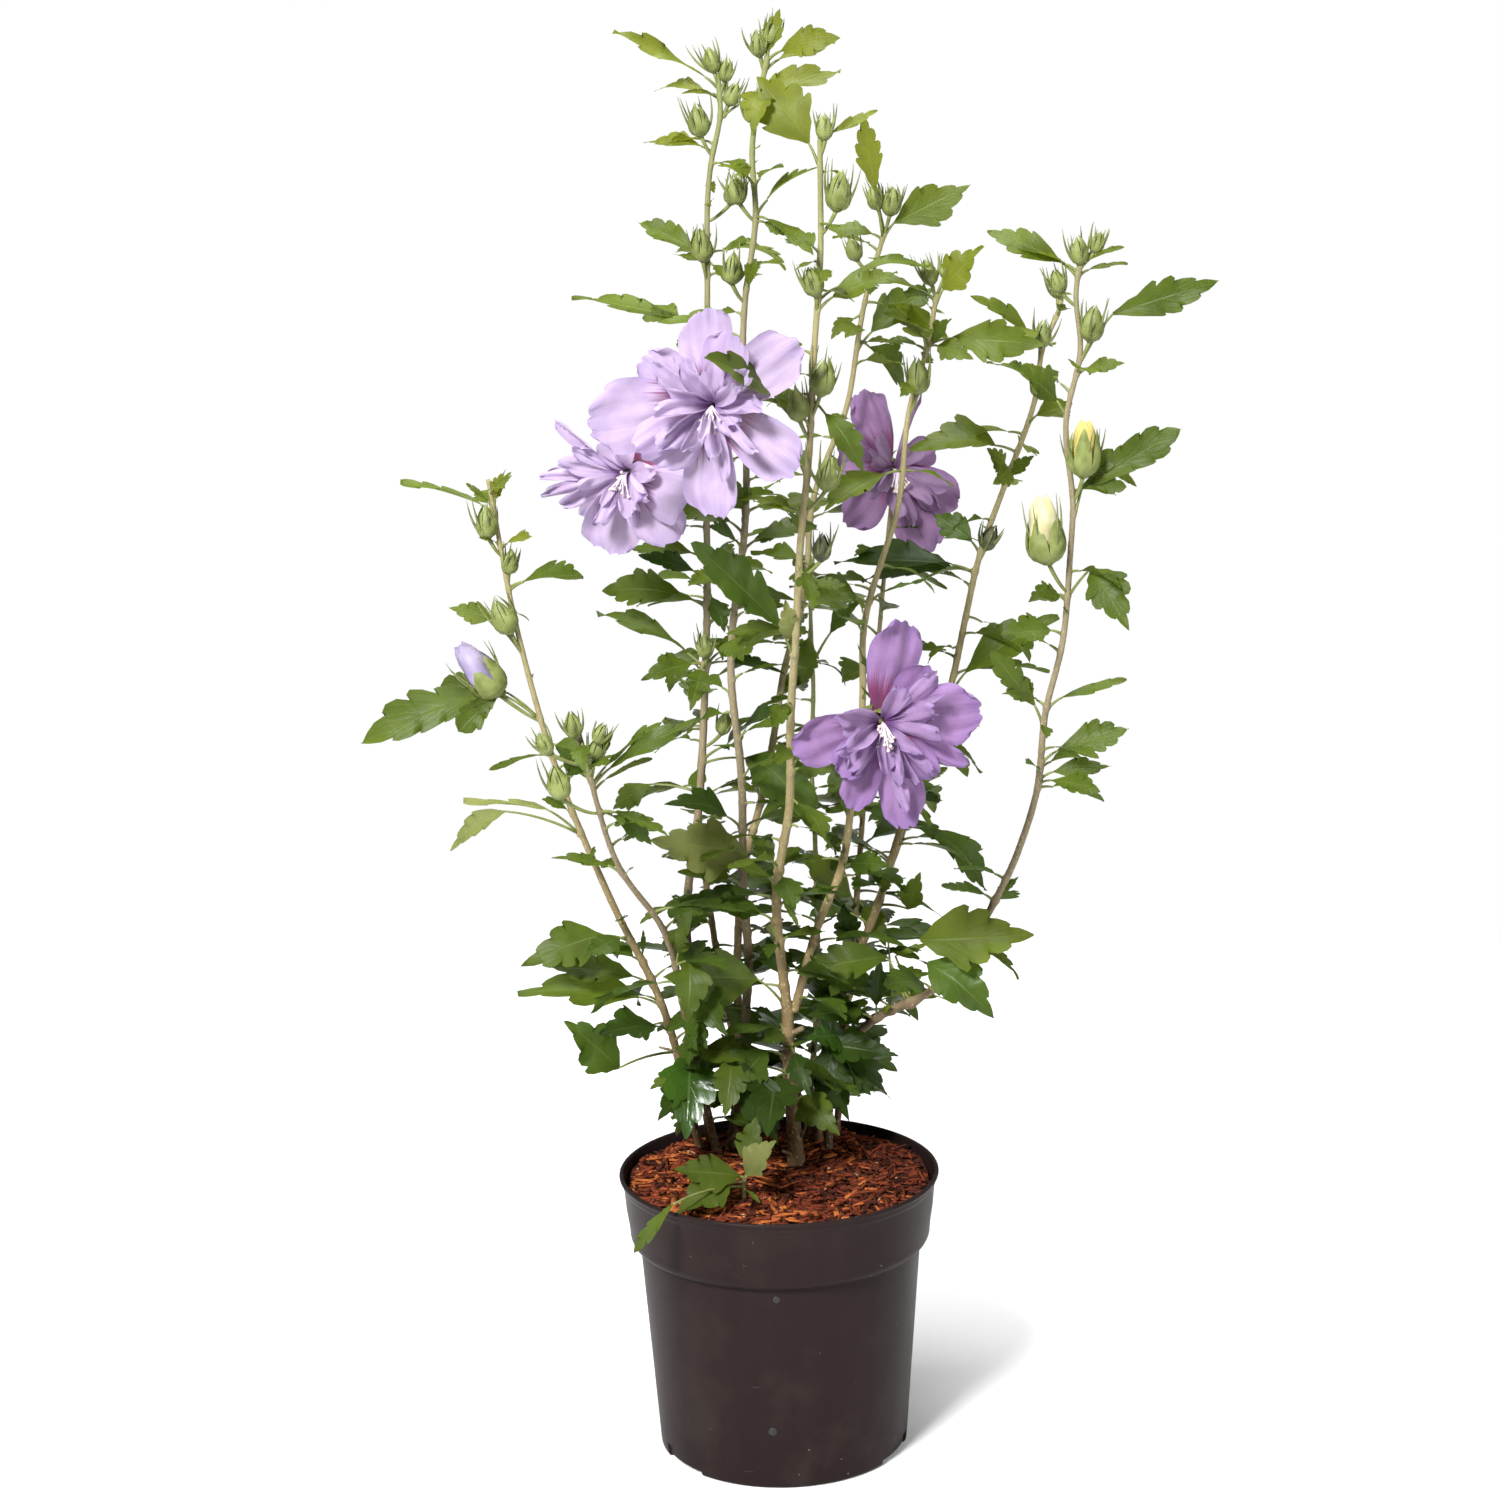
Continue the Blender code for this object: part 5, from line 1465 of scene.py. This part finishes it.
def wall_inside(height):
    """The radius of the pot's inner wall at a height."""
    if height > CREASE_HEIGHT + 5:
        share = (height - CREASE_HEIGHT) / (POT_HEIGHT - CREASE_HEIGHT)
        return CREASE_RADIUS + 3.2 + share * (RIM_RADIUS - CREASE_RADIUS - 6.0)
    foot = BASE_RADIUS + FOOT_SWELL
    return foot + height / CREASE_HEIGHT * (CREASE_RADIUS - foot) - WALL


def arc(centre, size, first, last, steps):
    """Points (radius, height) on an ellipse about a centre, between two angles in degrees."""
    angle = np.radians(np.linspace(first, last, steps))
    return [(centre[0] + size[0] * math.cos(a), centre[1] + size[1] * math.sin(a)) for a in angle]


def make_pot():
    """The pot as one closed surface: a profile of radius and height turned about the axis, from
    the middle of the underside up the outside, over the lip and down inside. Where a drainage
    notch is, the wall below its top is set in."""
    foot = BASE_RADIUS + FOOT_SWELL
    slope = (CREASE_RADIUS - foot) / (CREASE_HEIGHT - FOOT_ROUNDING)
    profile = [(0, 0), (foot - NOTCH_INSET, 0)]
    profile += arc((foot - FOOT_ROUNDING, FOOT_ROUNDING), (FOOT_ROUNDING, FOOT_ROUNDING), -90, 0, 5)
    wall_heights = [NOTCH_HEIGHT - 0.01, NOTCH_HEIGHT + 0.01, *np.linspace(18, CREASE_HEIGHT - 1.5, 13)]
    profile += [(foot + slope * (z - FOOT_ROUNDING), z) for z in wall_heights]
    # The crease under the rim band, then the band itself.
    profile += arc((CREASE_RADIUS + 0.9, CREASE_HEIGHT - 0.3), (1.0, 1.0), 190, 90, 4)
    profile += arc((CREASE_RADIUS + 1.0, CREASE_HEIGHT + 7.2), (4.7, 6.5), -84, 0, 9)
    profile += [(CREASE_RADIUS + 6.1, CREASE_HEIGHT + 12), (RIM_RADIUS - 3.6, 150), (RIM_RADIUS - 2.5, 163)]
    # The lip, rolled over, then the inside.
    profile += arc((RIM_RADIUS - 2.4, 166.2), (0.9, 2.2), -80, 0, 4)
    profile += arc((RIM_RADIUS - 1.35, POT_HEIGHT - 1.5), (1.35, 1.5), -75, 180, 12)
    profile += [(wall_inside(z) + 0.3, z) for z in (166, 162, 158, 150, CREASE_HEIGHT + 6)]
    profile += [(wall_inside(z), z) for z in (CREASE_HEIGHT, 60, FLOOR)] + [(0, FLOOR)]
    radius, height = np.array(profile).T
    turn = turns(POT_SIDES)
    half = NOTCH_WIDTH / 2 / BASE_RADIUS
    bearings = np.radians(NOTCH_BEARINGS) - np.pi / 2
    off = np.abs((turn[:, None] - bearings + np.pi) % (2 * np.pi) - np.pi).min(axis=1)
    outer_foot = (height < NOTCH_HEIGHT) & (radius > BASE_RADIUS - NOTCH_INSET)
    outer_foot &= np.arange(len(height)) < OUTER_POINTS
    set_in = np.where(outer_foot[:, None] & (off < half), NOTCH_DEPTH, 0)
    bend = 0.25 * np.cos(2 * turn + 0.6)[None, :] * (height / POT_HEIGHT)[:, None] ** 2
    rings = np.maximum(radius[:, None] - set_in, 0) + bend * (radius[:, None] > 20)
    rings = np.where(radius[:, None] < 1, 0, rings)
    level = np.broadcast_to(height[:, None], rings.shape)
    grid = np.stack([rings * np.cos(turn), rings * np.sin(turn), level], axis=-1)
    pot = Heap()
    pot.grid(grid, ring=True)
    piece = make_piece("pot_shell", pot, "pot", ["pot"])
    piece.data.set_sharp_from_angle(angle=math.radians(40))
    marks = Heap()
    for bearing, z, size in POT_MARKS:
        angle = math.radians(bearing - 90)
        wall = foot + slope * (z - FOOT_ROUNDING)
        out = np.array([math.cos(angle), math.sin(angle), -slope])
        spot = np.array([wall * math.cos(angle), wall * math.sin(angle), z])
        line = np.array([spot - out * 0.4, spot + out * 0.05, spot + out * 0.35, spot + out * 0.5])
        marks.grid(tube(line, np.array([size, size, size * 0.8, size * 0.3]), 18), ring=True)
    make_piece("moulding_marks", marks, "pot_mark")


def make_floor():
    """A pale round floor with a faint glow of its own."""
    turn = turns(FLOOR_SIDES)
    rim = FLOOR_RADIUS * np.column_stack([np.cos(turn), np.sin(turn), 0 * turn])
    mesh = bpy.data.meshes.new("floor")
    mesh.from_pydata(rim.tolist(), [], [tuple(range(FLOOR_SIDES))])
    floor = add_object("floor", mesh)
    finish = Finish("floor_pale")
    paper = finish.noise(3.0, 2.0)
    skin = finish.ramp(paper, (0.3, (0.80, 0.80, 0.80)), (0.7, (0.83, 0.83, 0.83)))
    finish.set(Base_Color=skin, Roughness=0.9)
    finish.set(Emission_Color=(0.08, 0.08, 0.08), Emission_Strength=1.0)
    mesh.materials.append(finish.material)


def make_world():
    """A world that the camera sees as white and that lights the plant dimly, most from behind."""
    world = bpy.data.worlds.new("studio")
    world.use_nodes = True
    tree = world.node_tree
    kinds = ("TexCoord", "SeparateXYZ", "MapRange", "LightPath", "Math")
    way, split, shade, seen, strength = (tree.nodes.new("ShaderNode" + kind) for kind in kinds)
    ground = tree.nodes["Background"]
    strength.operation = "MAXIMUM"
    for name, value in WORLD_SHADE.items():
        shade.inputs[name].default_value = value
    ground.inputs["Color"].default_value = (1, 1, 1, 1)
    links = (
        (way.outputs["Generated"], split.inputs[0]),
        (split.outputs[1], shade.inputs["Value"]),
        (shade.outputs[0], strength.inputs[0]),
        (seen.outputs["Is Camera Ray"], strength.inputs[1]),
        (strength.outputs[0], ground.inputs["Strength"]),
    )
    for source, target in links:
        tree.links.new(source, target)
    bpy.context.scene.world = world


def aim(item, right, up, back, place):
    """Sets a lamp or a camera down at a place in metres, looking away from its back."""
    seat = np.column_stack([right, up, back, place])
    item.matrix_world = Matrix(np.vstack([seat, [0, 0, 0, 1]]))


def make_lamps():
    """Large, soft, round lamps."""
    for name, (place, target, size, power) in LAMPS.items():
        data = bpy.data.lights.new(name, "AREA")
        data.shape = "DISK"
        data.size = size
        data.energy = power
        back = unit(np.array(place) - np.array(target))
        side = unit(np.cross(UP, back))
        aim(add_object(name, data), side, np.cross(back, side), back, place)


def make_camera():
    right, up, forward = camera_axes()
    data = bpy.data.cameras.new("camera")
    data.lens = LENS
    data.sensor_width = SENSOR
    camera = add_object("camera", data)
    aim(camera, right, up, -forward, EYE * MM)
    bpy.context.scene.camera = camera


def make_finishes():
    """Every finish by the name that its pieces ask for."""
    made = {"leaf_" + tone: leaf_finish(tone) for tone in LEAF_TONES}
    made |= {name: bark_finish(*look) for name, look in BARKS.items()}
    made |= {name: soft_skin(*look) for name, look in SKINS.items()}
    made |= {name: bark_chip_finish(name, *look) for name, look in CHIPS.items()}
    for tone, (pale, rich, edge) in PETALS.items():
        light = blended(pale, HEART_PALE, 0.12)
        made["petal_" + tone] = petal_finish("petal_" + tone, pale, rich, edge, PETAL_EYE, 0.46)
        made["heart_" + tone] = petal_finish("heart_" + tone, light, rich, edge, rich, 0.30)
    made["pot"] = pot_finish()
    return made


def masses_by_tone():
    """The foliage nodes shared out among the tones by the height of their middle."""
    shares = {tone: [] for tone in LEAF_TONES}
    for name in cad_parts:
        if name.startswith("leaves"):
            low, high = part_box(name)
            shares[tone_at((low[2] + high[2]) / 2 / MM)].append(name)
    return shares


def add_stubs(heap, limbs, rng):
    """Cut stubs and dead twigs at the foot of the limbs."""
    for name, height, right, back, up, radius in STUBS:
        start = limbs[name].at(height)
        end = start + (right, back, up)
        bow = (start + end) / 2 - 0.12 * up * UP + rng.uniform(-1, 1, 3)
        line = bent_line(start, bow, end, len(STUB_TAPER))
        heap.grid(tube(line, radius * STUB_TAPER, 7), ring=True)


def make_limbs(limbs, rng):
    """The limbs by their bark. The stubs are brown."""
    groups = {kind: [] for kind in BARKS}
    for name in limbs:
        kind = "brown_bark" if name in BROWN_LIMBS else "green_bark" if name in GREEN_LIMBS else "bark"
        groups[kind].append(name)
    for kind, members in groups.items():
        heap = Heap()
        for name in members:
            heap.grid(limbs[name].surface(rng), ring=True)
        if kind == "brown_bark":
            add_stubs(heap, limbs, rng)
        make_piece("limbs_" + kind, heap, kind, members)


def make_plant(rng):
    """Blooms and buds first, then the leaves, which need to know what is covered, then the limbs,
    whose nodes swell where a leaf stands."""
    limbs = {name: Limb(name, rng) for name in LIMBS}
    sight = Sight()
    for limb in limbs.values():
        sight.cover(limb.line)
    heaps = {name: Heap() for name in HEAP_SKINS}
    for name in BLOOMS:
        for points in make_bloom(name, heaps, rng):
            sight.cover(points, bloom=True)
    for name, rows in BUDS.items():
        for x, y, z, lean, length, stage in rows:
            make_bud(limbs[name], (x, y, z), lean, length, stage, heaps, rng)
    blades, stalks = grow_crown(limbs, sight, rng)
    shares = masses_by_tone()
    for tone, heap in blades.items():
        make_piece("leaf_blades_" + tone, heap, "leaf_" + tone, shares[tone])
    make_piece("leaf_stalks", stalks, "stalk")
    for name, heap in heaps.items():
        make_piece("bud_" + name, heap, name)
    make_limbs(limbs, rng)


make_camera()
make_floor()
make_world()
make_lamps()
FINISHES = make_finishes()
make_pot()
make_mulch(np.random.default_rng(MULCH_SEED))
make_plant(np.random.default_rng(PLANT_SEED))
bpy.context.scene.view_settings.view_transform = "Standard"
